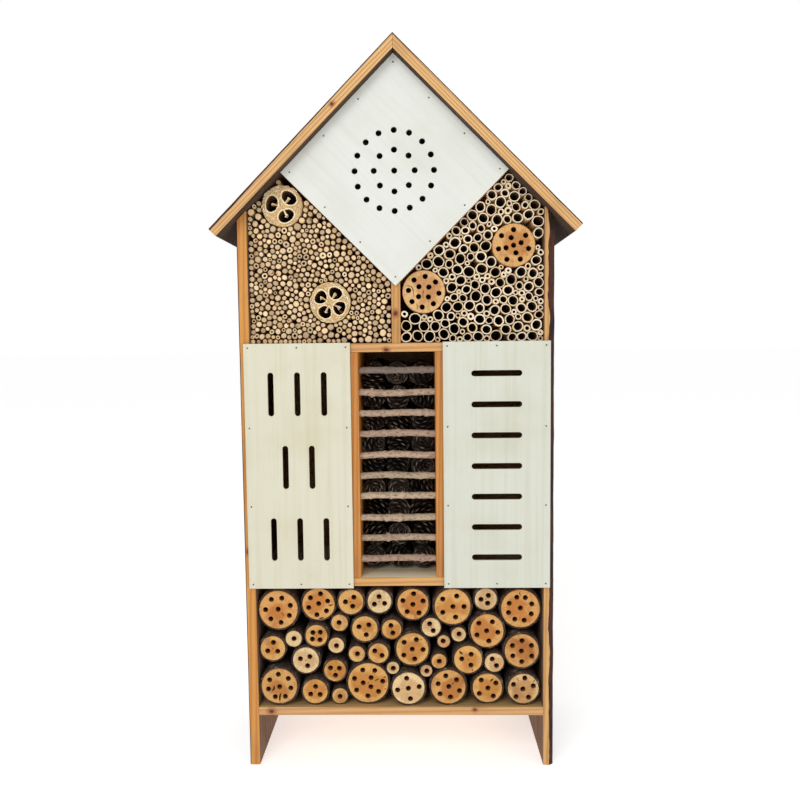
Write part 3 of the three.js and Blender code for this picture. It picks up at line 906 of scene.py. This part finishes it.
def lobe(at, degrees, along, spread):
    """A seed channel: a rounded sector, spread degrees to either side of its middle."""
    sides = 40
    points = []
    for i in range(sides):
        a = TURN * i / sides
        u, v = (math.copysign(abs(f(a)) ** 0.78, f(a)) for f in (math.cos, math.sin))
        reach = at + along * u * (1 + 0.05 * math.sin(3 * a + degrees))
        turn = math.radians(degrees + spread * v * (1 - 0.12 * u))
        points.append((reach * math.cos(turn), reach * math.sin(turn)))
    return np.array(points)


def loofah(node, angles, along, spread, seed):
    x, z, radius = round_of(node)
    low, high = node_range(node)
    rng = random.Random(seed)
    lobes = [lobe(14.4 * MM, a, along, spread) for a in angles]
    edge = circle(0, 0, radius - 0.8 * MM, 64)
    edge *= np.array([[1 + 0.018 * noise.noise(Vector((*p, seed)) * 90)] for p in edge])
    piece = plate(Piece(), edge, lobes, high.y - low.y - 1.2 * MM, 0.8 * MM, kinds=(0, 0, 1))
    piece.tints = [rgb(218, 184, 126)] * len(piece.points)
    tones = [rgb(250, 230, 188), rgb(240, 212, 162), rgb(216, 180, 124), rgb(255, 246, 220)]

    def clear(points, margin):
        flat = np.array([(p[0], p[2]) for p in points])
        return not any(inside(flat, grown(hole, margin)).any() for hole in lobes)

    for hole in lobes:  # pale rolled lip round each channel
        for layer in range(3):
            loop = grown(hole, (0.5 + 0.5 * layer) * MM)
            path = []
            for a, b in [*loop, loop[0]]:
                path.append((a + rng.gauss(0, 0.12) * MM, rng.uniform(-1.4, -0.5) * MM,
                             b + rng.gauss(0, 0.12) * MM))
            tube(piece, path, [rng.uniform(0.3, 0.5) * MM for _ in path], 5, tones[layer % 2 * 3])
    for _ in range(620):
        reach = radius * math.sqrt(rng.uniform(0.0, 0.93))
        start, span = rng.uniform(0, TURN), rng.uniform(0.15, 0.9) * min(1.4, 8 * MM / max(reach, 2 * MM))
        drift = rng.gauss(0, 2.4) * MM
        height = rng.uniform(-1.5, -0.2) * MM
        path = []
        for i in range(6):
            r = min(reach + drift * i / 5, radius - 0.7 * MM)
            a = start + span * i / 5
            path.append((r * math.cos(a), height + 0.5 * MM * math.sin(i * 1.3 + start), r * math.sin(a)))
        if clear(path, 0.2 * MM):
            thick = rng.uniform(0.22, 0.5) * MM
            tube(piece, path, [thick * (0.6 + 0.4 * math.sin(math.pi * i / 5)) for i in range(6)], 5,
                 rng.choice(tones))
    for degrees in angles:  # the seed-bearing rib that reaches into each channel, with a frayed tip
        for strand in range(9):
            turn = math.radians(degrees + rng.gauss(0, 3))
            y, tip = rng.uniform(-0.6, 9) * MM, (14.5 + rng.uniform(-1.2, 1.2)) * MM
            flare = math.radians(rng.uniform(-9, 9))
            steps = [(5 * MM, turn), (9 * MM, turn), (tip - 2 * MM, turn), (tip, turn + flare)]
            path = [(r * math.cos(a), y, r * math.sin(a)) for r, a in steps]
            tube(piece, path, [0.9 * MM, 0.6 * MM, 0.7 * MM, 1.0 * MM], 7, rng.choice(tones), 0.4, strand)
    place = Matrix.Translation((x, low.y + 1.2 * MM, z))
    piece.make(f"{node}_fibres", [LOOFAH_FIBRE, LOOFAH_DEEP], "loofah", (node,), place, sharp=70)


# --- Drilled rounds: discs, logs and branches ------------------------------------------------


def ring_points(rings, radius):
    """Bore centres; each ring is (count, share of the radius, angle of its first bore)."""
    points = []
    for count, share, degrees in rings:
        for k in range(count):
            turn = math.radians(degrees) + TURN * k / count
            points.append((radius * share * math.cos(turn), radius * share * math.sin(turn)))
    return points


def bore_rings(bores, turn):
    """The drilling pattern that goes with a number of bores."""
    if bores == 1:
        return [(1, 0.0, 0)]
    if bores <= 4:
        return [(bores, 0.42, turn)]
    if bores <= 9:
        return [(bores - 1, 0.62, turn), (1, 0.0, 0)]
    return [(7, 0.66, turn), (3, 0.26, turn)]


def crack_loop(path, widest):
    """A thin wedge along a path, closed at both ends."""
    path = [Vector(p) for p in path]
    left, right = [], []
    for i, here in enumerate(path):
        ahead = (path[min(i + 1, len(path) - 1)] - path[max(i - 1, 0)]).normalized()
        side = Vector((-ahead.y, ahead.x))
        width = widest * (0.12 + 0.88 * math.sin(math.pi * (i + 0.4) / len(path))) / 2
        left.append(here + side * width)
        right.append(here - side * width)
    return np.array([tuple(p) for p in right + left[::-1]])


def clear_run(path, bores, radius, width):
    """The longest stretch of a crack that keeps clear of the bores and of the rim."""
    runs = [[]]
    corners = [Vector(p) for p in path]
    for start, end in zip(corners, corners[1:]):
        for step in range(6):
            here = start.lerp(end, step / 6)
            room = min([math.dist(here, bore) - BORE_RADIUS for bore in bores] + [radius - here.length])
            if room > width / 2 + 0.9 * MM:
                runs[-1].append(here)
            elif runs[-1]:
                runs.append([])
    return max(runs, key=len)


def bored_round(name, slot, stands_for, place, radius, rim, depth, bores, seed, tint, wobble=0.02):
    """A round of wood with blind bores and cracks in its front end, rim smaller than its radius.

    wobble is how uneven its outline is. Returns the outline.
    """
    size = radius - rim
    unit = circle(0, 0, 1, 72)
    edge = unit * size * [[1 - wobble + wobble * noise.noise(Vector((*p, seed)) * 1.3)] for p in unit]
    rng = random.Random(int(seed * 31))
    holes = []
    for x, z in bores:
        loop = circle(x, z, BORE_RADIUS, 20, rng.random())
        loop += np.array([[rng.gauss(0, 0.07) * MM, rng.gauss(0, 0.07) * MM] for _ in loop])
        holes.append(loop)
    for owner, width, *path in CRACKS:
        if owner == name:
            clear = clear_run([(a * size, b * size) for a, b in path], bores, size, width * MM)
            if len(clear) > 2:
                holes.append(crack_loop(clear, width * MM))
    piece = Piece()
    plate(piece, edge, holes, depth, 0.4 * MM, BORE_DEPTH, kinds=(0, 0, 1), tint=tint)
    weld(piece.make(f"{name}_wood", [END_GRAIN, DRILLED], slot, stands_for, place, girth=radius, seed=seed))
    return edge


def jittered(points, rng, amount=0.9 * MM):
    """Hand-drilled bores: each a little off its place."""
    return [(x + rng.uniform(-amount, amount), z + rng.uniform(-amount, amount)) for x, z in points]


def discs():
    upper = ring_points([(7, 0.7, 90), (4, 0.36, 108), (1, 0, 0)], 29.7 * MM)
    lower = ring_points([(8, 0.7, 84), (4, 0.32, 42)], 29.7 * MM)
    for node, bores, tint, seed in (
        ("drilled_disc_upper", upper, rgb(216, 160, 92), 3.0),
        ("drilled_disc_lower", lower, rgb(222, 176, 120), 7.0),
    ):
        x, z, radius = round_of(node)
        low, high = node_range(node)
        place = Matrix.Translation((x, low.y, z))
        bored_round(node, "disc_wood", (node,), place, radius, 0.4 * MM, high.y - low.y, bores, seed, tint,
                    wobble=0.006)


# For each log, its number of bores and the angle in degrees at which their pattern starts.
LOG_BORES = [
    (8, 22), (7, 20), (3, 55), (3, 92), (6, 15), (6, 69), (3, 60), (9, 20), (3, 38), (2, 100), (2, 120),
    (6, 62), (4, 40), (3, 85), (7, 32), (2, 145), (6, 70), (3, 45), (3, 60), (2, 127), (3, 30), (8, 91),
    (3, 90), (10, 60), (5, 12), (7, 40), (5, 35),
]
# Numbers of the logs whose wood is paler, or more orange, than the others'.
PALE_LOGS = (4, 7, 11, 18, 20, 25)
ORANGE_LOGS = (1, 2, 5, 8, 12, 15, 22, 26)
# The piece, the crack's width in millimetres, and its path as shares of the radius.
CRACKS = [
    ("log_01", 0.8, (0.1, -0.1), (0.22, -0.24), (0.3, -0.36)),
    ("log_02", 1.8, (0.6, -0.06), (0.76, -0.08), (0.93, 0.0)),
    ("log_02", 2.0, (-0.2, -0.84), (0.1, -0.9), (0.35, -0.82)),
    ("log_06", 0.8, (0.1, -0.5), (0.28, -0.62), (0.3, -0.8)),
    ("log_08", 1.0, (0.0, 0.62), (-0.04, 0.78), (-0.02, 0.92)),
    ("log_17", 1.3, (0.52, 0.0), (0.7, 0.03), (0.92, 0.1)),
    ("log_17", 0.8, (0.4, 0.55), (0.5, 0.6), (0.62, 0.6)),
    ("log_19", 2.6, (-0.62, 0.62), (-0.5, 0.48), (-0.36, 0.36)),
    ("log_19", 1.8, (0.28, -0.9), (0.3, -0.8), (0.27, -0.7)),
    ("log_22", 2.2, (-0.94, -0.4), (-0.8, -0.38), (-0.62, -0.38), (-0.44, -0.3), (-0.3, -0.16),
     (-0.28, 0.06)),
    ("log_22", 2.4, (0.02, -0.93), (0.0, -0.74), (0.02, -0.54), (0.1, -0.36)),
    ("log_24", 1.2, (0.3, 0.1), (0.44, 0.16), (0.56, 0.22)),
    ("log_24", 1.4, (0.74, 0.26), (0.84, 0.3), (0.95, 0.36)),
    ("log_24", 1.6, (0.8, -0.3), (0.88, -0.34), (0.94, -0.3)),
    ("log_26", 0.9, (0.18, 0.1), (0.3, 0.24), (0.4, 0.44)),
    ("log_27", 2.2, (0.18, 0.44), (0.3, 0.56), (0.42, 0.66)),
    ("branch_01", 2.0, (-0.8, 0.62), (-0.66, 0.48), (-0.56, 0.4)),
    ("branch_01", 1.3, (0.62, 0.44), (0.74, 0.56), (0.8, 0.58)),
    ("branch_01", 1.0, (-0.3, 0.5), (-0.36, 0.6), (-0.34, 0.74)),
    ("drilled_disc_lower", 0.9, (-0.92, 0.28), (-0.74, 0.3), (-0.56, 0.24), (-0.48, 0.08), (-0.46, -0.12),
     (-0.5, -0.24)),
    ("drilled_disc_lower", 0.8, (-0.34, -0.52), (-0.3, -0.66), (-0.32, -0.84)),
    ("drilled_disc_lower", 0.6, (-0.02, 0.12), (-0.04, -0.08), (-0.02, -0.34)),
]
# Thin branches between the logs: x, z and radius in millimetres, and the number of bores.
BRANCHES = [
    (173.5, 110, 24, 6), (-85, 204.5, 13.5, 1), (-150, 182.5, 13, 1), (-90, 172.5, 12.5, 1),
    (83, 188, 11.5, 1), (62, 176.5, 10, 1), (-61, 159.5, 13, 1), (55, 149.5, 12, 1), (-86, 98, 12.5, 1),
    (-9, 137.5, 10, 1), (36.5, 134.5, 9.5, 1),
]


def bark_sleeve(piece, edge, radius, length, seed):
    """A rough bark tube round a log's wood, with its front edge torn."""
    unit = circle(0, 0, 1, len(edge))
    wood = np.linalg.norm(edge, axis=1)
    inner = wood - 0.5 * MM

    def ring(sizes, y):
        depths = np.broadcast_to(y, len(unit))
        return [(a * size, depth, b * size) for (a, b), size, depth in zip(unit, sizes, depths)]

    def rough(y, height):
        spots = [Vector((u[0] * 3.2, y * 30, u[1] * 3.2 + seed)) for u in unit]
        return height * np.array([noise.fractal(spot, 0.7, 2.1, 4) for spot in spots])

    def outer(y):
        return np.maximum(radius + rough(y, 0.9 * MM), wood + 0.5 * MM)

    torn = 0.9 * MM + np.abs(rough(9.1, 1.3 * MM))
    whole = 2.6 * MM  # how far back the torn edge ends
    rings = [ring(inner, 3 * MM), ring(wood + 0.1 * MM, torn + 0.4 * MM),
             ring((wood + outer(0)) / 2, torn), ring(outer(0), torn + 0.8 * MM)]
    for share in (0.04, 0.09, 0.16, 0.26, 0.4, 0.6, 0.8, 1.0):
        y = whole + (length - whole) * share
        rings.append(ring(outer(y), y))
    rings.append(ring(inner, length))
    piece.loft(rings, 0, closed=True)


def log_pieces(name, x, z, radius, front, bores, tint, seed, stands_for=()):
    """A drilled log or branch: the wood, and the bark round it."""
    bark = min(2.3 * MM, radius * 0.12)
    length = FILL_BACK - front
    place = Matrix.Translation((x, front, z))
    edge = bored_round(name, "log_wood", stands_for, place, radius, bark, length, bores, seed, tint)
    sleeve = Piece()
    bark_sleeve(sleeve, edge, radius, length, seed)
    sleeve.make(f"{name}_bark", [LOG_BARK], "bark", (), place, sharp=60)


GOLDEN, ORANGE, PALE = rgb(212, 154, 70), rgb(208, 140, 60), rgb(234, 212, 166)


def logs():
    rounds, fronts = [], []
    for index, (bores, turn) in enumerate(LOG_BORES, start=1):
        name = f"log_{index:02d}"
        rng = random.Random(index)
        x, z, radius = round_of(name)
        rounds.append((x, z, radius))
        fronts.append(node_range(name)[0].y)
        tint = PALE if index in PALE_LOGS else ORANGE if index in ORANGE_LOGS else GOLDEN
        tint = shaded(blend(tint, GOLDEN, rng.uniform(0, 0.35)), rng.uniform(0.9, 1.08))
        spots = jittered(ring_points(bore_rings(bores, turn), radius - 1.5 * MM), rng)
        log_pieces(name, x, z, radius, fronts[-1], spots, tint, index * 1.7, (name,))
    branches(rounds, sum(fronts) / len(fronts))


def branches(logs_round, log_front):
    """The thin branches, eased off the logs and boards; their ends are about level with the logs'."""
    points = np.array([(x * MM, z * MM) for x, z, _, _ in BRANCHES])
    radii = np.array([radius * MM for _, _, radius, _ in BRANCHES])
    walls = [((0, 1), -SHELF_TOP["bottom_shelf"]), ((1, 0), INNER), ((-1, 0), INNER)]
    walls = [(np.array(normal, dtype=float), offset) for normal, offset in walls]
    points = relax(points, radii, walls, logs_round, 60)
    for index, ((_, _, widest, bores), at) in enumerate(zip(BRANCHES, points), start=1):
        rng = random.Random(100 + index)
        x, z = float(at[0]), float(at[1])
        free = min(math.dist((x, z), (a, b)) - r for a, b, r in logs_round)
        radius = min(widest * MM, max(free, 5 * MM))
        tint = shaded(blend(GOLDEN, PALE, rng.uniform(0, 0.8)), rng.uniform(0.88, 1.05))
        turn = 85 if bores > 1 else 0
        spots = jittered(ring_points(bore_rings(bores, turn), radius), rng, 0.8 * MM)
        front = log_front + rng.uniform(-2, 5) * MM
        log_pieces(f"branch_{index:02d}", x, z, radius, front, spots, tint, 70 + index * 2.3)


# --- Window: twigs and pine cones ------------------------------------------------------------


TWIG_COUNT = 10


def twigs():
    first, rest, ruddy = rgb(124, 110, 100), rgb(188, 166, 138), rgb(178, 144, 126)
    for index in range(1, TWIG_COUNT + 1):
        node = f"twig_{index:02d}"
        low, high = node_range(node)
        rng = random.Random(40 + index)
        middle = (low + high) / 2
        steps = 84
        bumps = [(rng.uniform(0.08, 0.92), rng.uniform(0.12, 0.3)) for _ in range(rng.randint(2, 4))]
        taper = rng.uniform(-0.1, 0.1)
        sway, dip = rng.uniform(-1.2, 1.2) * MM, rng.uniform(-1.4, 1.4) * MM
        path, radii = [], []
        for i in range(steps + 1):
            t = i / steps
            bend = math.sin(math.pi * t)
            path.append((low.x + (high.x - low.x) * t, middle.y + sway * bend,
                         middle.z + dip * bend + 0.5 * MM * math.sin(7 * t + index)))
            swell = 1 + taper * (t - 0.5) + sum(h * math.exp(-(((t - c) / 0.022) ** 2)) for c, h in bumps)
            radii.append(4.5 * MM * swell)
        piece = Piece()
        mixed = blend(rest, ruddy, rng.uniform(0, 0.8))
        # The top twig, just under the upper shelf, gets the darker first colour: painted shade under the
        # shelf.
        tint = first if index == 1 else shaded(mixed, rng.uniform(0.84, 1.04))
        tube(piece, path, radii, 20, tint, rough=0.12, seed=index * 3.1)
        for centre, _ in bumps[:2]:  # stubs of cut side shoots
            base = Vector(path[int(centre * steps)])
            lean = Vector((rng.uniform(-0.5, 0.5), -0.5, rng.choice((-1, 1)))).normalized()
            stub = [base + lean * d * MM for d in (2.2, 4.2, 5.4)]
            tube(piece, stub, [2.0 * MM, 1.6 * MM, 1.3 * MM], 10, tint, rough=0.2, seed=index)
        piece.make(f"{node}_branch", [TWIG_BARK], "twig_bark", (node,), sharp=60)


def cone_points(rng, radius, half_length):
    """The scales of one cone about its own Z axis, and the faces that each of them has."""
    scales = 52
    made = []
    golden = math.pi * (3 - math.sqrt(5))
    for i in range(scales):
        t = i / (scales - 1)
        height = half_length * (1.75 * t - 0.95)
        width = math.sin(math.pi * (0.14 + 0.8 * t)) ** 0.7
        reach = radius * width * rng.uniform(0.93, 1.0)
        turn = golden * i
        lift = -0.35 + 1.35 * t
        out = Vector((math.cos(turn) * math.cos(lift), math.sin(turn) * math.cos(lift), math.sin(lift)))
        side = Vector((-math.sin(turn), math.cos(turn), 0))
        up = out.cross(side) * -1
        root = Vector((0, 0, height - reach * 0.35 * math.sin(lift)))
        half = radius * 0.34 * (0.5 + 0.5 * width)
        sections = [(0.22, 0.4, 0.5), (0.62, 0.9, 0.5), (0.9, 1.0, 0.9), (1.0, 0.6, 0.7)]
        points = []
        for along, wide, thick in sections:
            centre = root + out * reach * along
            for a, b in ((-1, 0), (0, 1), (1, 0), (0, -1)):
                points.append(centre + side * a * half * wide + up * b * thick * 0.9 * MM)
        made.append(points)
    faces = [(r * 4 + k, r * 4 + (k + 1) % 4, r * 4 + 4 + (k + 1) % 4, r * 4 + 4 + k)
             for r in range(3) for k in range(4)]
    faces += [(0, 1, 2, 3), (12, 13, 14, 15)]
    return made, faces


def pine_cones():
    low, high = node_range("pine_cone_stack")
    rng = random.Random(9)
    radius, half_length = 17.2 * MM, 18.5 * MM
    kinds = [cone_points(rng, radius, half_length) for _ in range(3)]
    rows, columns, layers = 9, 3, 3
    # dark is near black: painted shade at the scales' roots
    dark, brown, frayed = rgb(24, 20, 17), rgb(58, 44, 34), rgb(186, 164, 140)
    for row in range(rows):
        piece = Piece()
        z = low.z + radius + (high.z - low.z - 2 * radius) * row / (rows - 1)
        for column in range(columns):
            for layer in range(layers):
                scales, faces = rng.choice(kinds)
                x = (column - 1) * 34.5 * MM + rng.uniform(-1.5, 1.5) * MM
                y = low.y + radius + (high.y - low.y - 2 * radius) * layer / (layers - 1)
                turn = Matrix.Rotation(rng.uniform(0, TURN), 3, "Z")
                tip = Matrix.Rotation(rng.uniform(0.2, 2.9), 3, "X")
                spin = Matrix.Rotation(rng.uniform(0, TURN), 3, "Y") @ tip @ turn
                warmth = rng.uniform(0.0, 0.8)
                for points in scales:
                    placed = [spin @ p + Vector((x, y, z)) for p in points]
                    edge = blend(brown, frayed, rng.uniform(0, 1) ** 2)
                    # Each scale is near black at its root, which is painted shade between the scales; the
                    # brown middle and the paler tips are the cone's own colours.
                    tints = [dark] * 4 + [blend(dark, brown, warmth)] * 8 + [edge] * 4
                    piece.add(placed, faces, 0, tints)
        stands_for = ("pine_cone_stack",) if row == 0 else ()
        piece.make(f"pine_cones_row_{row + 1}", [CONE_SCALE], "pine_cone", stands_for, sharp=50)


# --- Studio ----------------------------------------------------------------------------------


def camera():
    """A view from about a metre in front of the roof's edge, turned slightly down."""
    place = Vector((28.1 * MM, FRONT - 20 * MM - 1.0, 597.06 * MM))
    pitch, yaw, roll = 0.0753, -0.0234, -0.0112
    right = Vector((math.cos(yaw), -math.sin(yaw), 0))
    level = Vector((math.sin(yaw), math.cos(yaw), 0))
    up = Vector((0, 0, math.cos(pitch))) + level * math.sin(pitch)
    ahead = level * math.cos(pitch) - Vector((0, 0, math.sin(pitch)))
    right, up = (right * math.cos(roll) + up * math.sin(roll), up * math.cos(roll) - right * math.sin(roll))
    lens = bpy.data.cameras.new("camera")
    lens.sensor_width = 36
    lens.lens = 33.64
    eye = bpy.data.objects.new("camera", lens)
    turn = Matrix((right, up, -ahead)).transposed().to_4x4()
    eye.matrix_world = Matrix.Translation(place) @ turn
    bpy.context.scene.collection.objects.link(eye)
    bpy.context.scene.camera = eye


def softbox(name, place, target, size, watts):
    light = bpy.data.lights.new(name, "AREA")
    light.shape = "RECTANGLE"
    light.size = light.size_y = size
    light.energy = watts
    lamp = bpy.data.objects.new(name, light)
    lamp.location = place
    lamp.rotation_euler = (Vector(target) - Vector(place)).to_track_quat("-Z", "Y").to_euler()
    bpy.context.scene.collection.objects.link(lamp)


def studio():
    scene = bpy.context.scene
    scene.view_settings.view_transform = "Standard"
    world = bpy.data.worlds.new("studio")
    world.use_nodes = True
    nodes, links = world.node_tree.nodes, world.node_tree.links
    seen, lit = nodes["Background"], nodes.new("ShaderNodeBackground")
    seen.inputs["Strength"].default_value = 1.0
    seen.inputs["Color"].default_value = (1, 1, 1, 1)
    lit.inputs["Strength"].default_value = 0.52
    lit.inputs["Color"].default_value = (1, 1, 1, 1)
    choose, ray = nodes.new("ShaderNodeMixShader"), nodes.new("ShaderNodeLightPath")
    links.new(ray.outputs["Is Camera Ray"], choose.inputs[0])
    links.new(lit.outputs[0], choose.inputs[1])
    links.new(seen.outputs[0], choose.inputs[2])
    links.new(choose.outputs[0], nodes["World Output"].inputs[0])
    scene.world = world
    softbox("key", (-1.0, -2.6, 2.4), (0, 0, 0.45), 1.6, 34)
    softbox("fill", (1.8, -2.2, 1.2), (0, 0, 0.5), 1.4, 8)

    floor = Piece()
    rim = circle(0, 0, 60, 96)
    floor.loft([[(x, y, z) for x, y in rim] for z in (-0.02, 0.0)])
    s = Shader("floor_paint", 0.9)
    cloud = s.noise(s.place(), 3.0, detail=3)
    s.surface.inputs["Emission Color"].default_value = (1, 1, 1, 1)
    s.surface.inputs["Emission Strength"].default_value = 0.56
    paint = s.done(s.mix(cloud, (0.8, 0.8, 0.8, 1), (0.82, 0.82, 0.82, 1)))
    mesh = bpy.data.meshes.new("floor")
    mesh.from_pydata(floor.points, [], floor.faces)
    mesh.materials.append(paint)
    ground = bpy.data.objects.new("floor", mesh)
    scene.collection.objects.link(ground)


# --- Build -----------------------------------------------------------------------------------

WANE_BARK = waney_bark("wane_bark", rgb(78, 38, 26), rgb(32, 13, 10))
STAINED = worn_wood("stained_outside", rgb(112, 78, 54), rgb(62, 42, 32))
FADED = worn_wood("faded_inside", rgb(142, 108, 82), rgb(88, 66, 52), 0.85)
# the soffit's dark browns are painted shade: the roof's underside darkened where shade falls
SOFFIT_PAINTED_SHADE = worn_wood("soffit_painted_shade", rgb(84, 60, 40), rgb(40, 27, 18))
LEFT_PLY = painted_ply("left_ply", rgb(216, 213, 192), rgb(200, 190, 156))
RIGHT_PLY = painted_ply("right_ply", rgb(211, 213, 199), rgb(194, 190, 168))
GABLE_PLY = painted_ply("gable_ply", rgb(221, 223, 216), rgb(204, 205, 190), "X")
BACK_PLY = worn_wood("back_ply", rgb(196, 154, 106), rgb(160, 118, 76), 0.75, 0.4)
PLY_EDGE = ply_edge("ply_edge", rgb(196, 178, 138), rgb(104, 78, 52))
STEM_END = tinted("stem_end", rgb(168, 124, 78), 0.7, (700, 700, 700), 0.35)
STEM_SKIN = tinted("stem_skin", rgb(96, 62, 36), 0.55, (500, 25, 500), 0.6)
STEM_BORE = drilled("stem_bore", rgb(96, 66, 40), rgb(52, 34, 20))
CANE_BORE = drilled("cane_bore", rgb(122, 90, 60), rgb(74, 50, 34))
LOOFAH_FIBRE = tinted("loofah_fibre", rgb(166, 122, 66), 0.9, (600, 600, 600), 0.45)
LOOFAH_DEEP = drilled("loofah_deep", rgb(120, 84, 44), rgb(66, 44, 24))
END_GRAIN = end_grain("end_grain")
DRILLED = drilled("drilled", rgb(150, 96, 48), rgb(88, 50, 26))
LOG_BARK = rough_bark("log_bark", rgb(92, 66, 50), rgb(42, 30, 25), rgb(138, 130, 110))
TWIG_BARK = tinted("twig_bark", rgb(92, 68, 56), 0.85, (210, 420, 420), 0.95, 0.4 * MM)
CONE_SCALE = tinted("cone_scale", rgb(28, 22, 18), 0.75, (300, 300, 300), 0.8, 0.4 * MM)
STEEL = nail_metal()

carcass()
slot_panels()
gable_panel()
hidden_nails()
reed_stems()
sheath_bits()
bamboo_tubes()
loofah("loofah_slice_upper", (48, 168, 292), 8.0 * MM, 42, 4)
loofah("loofah_slice_lower", (60, 150, 240, 330), 8.0 * MM, 34, 6)
discs()
logs()
twigs()
pine_cones()
studio()
camera()
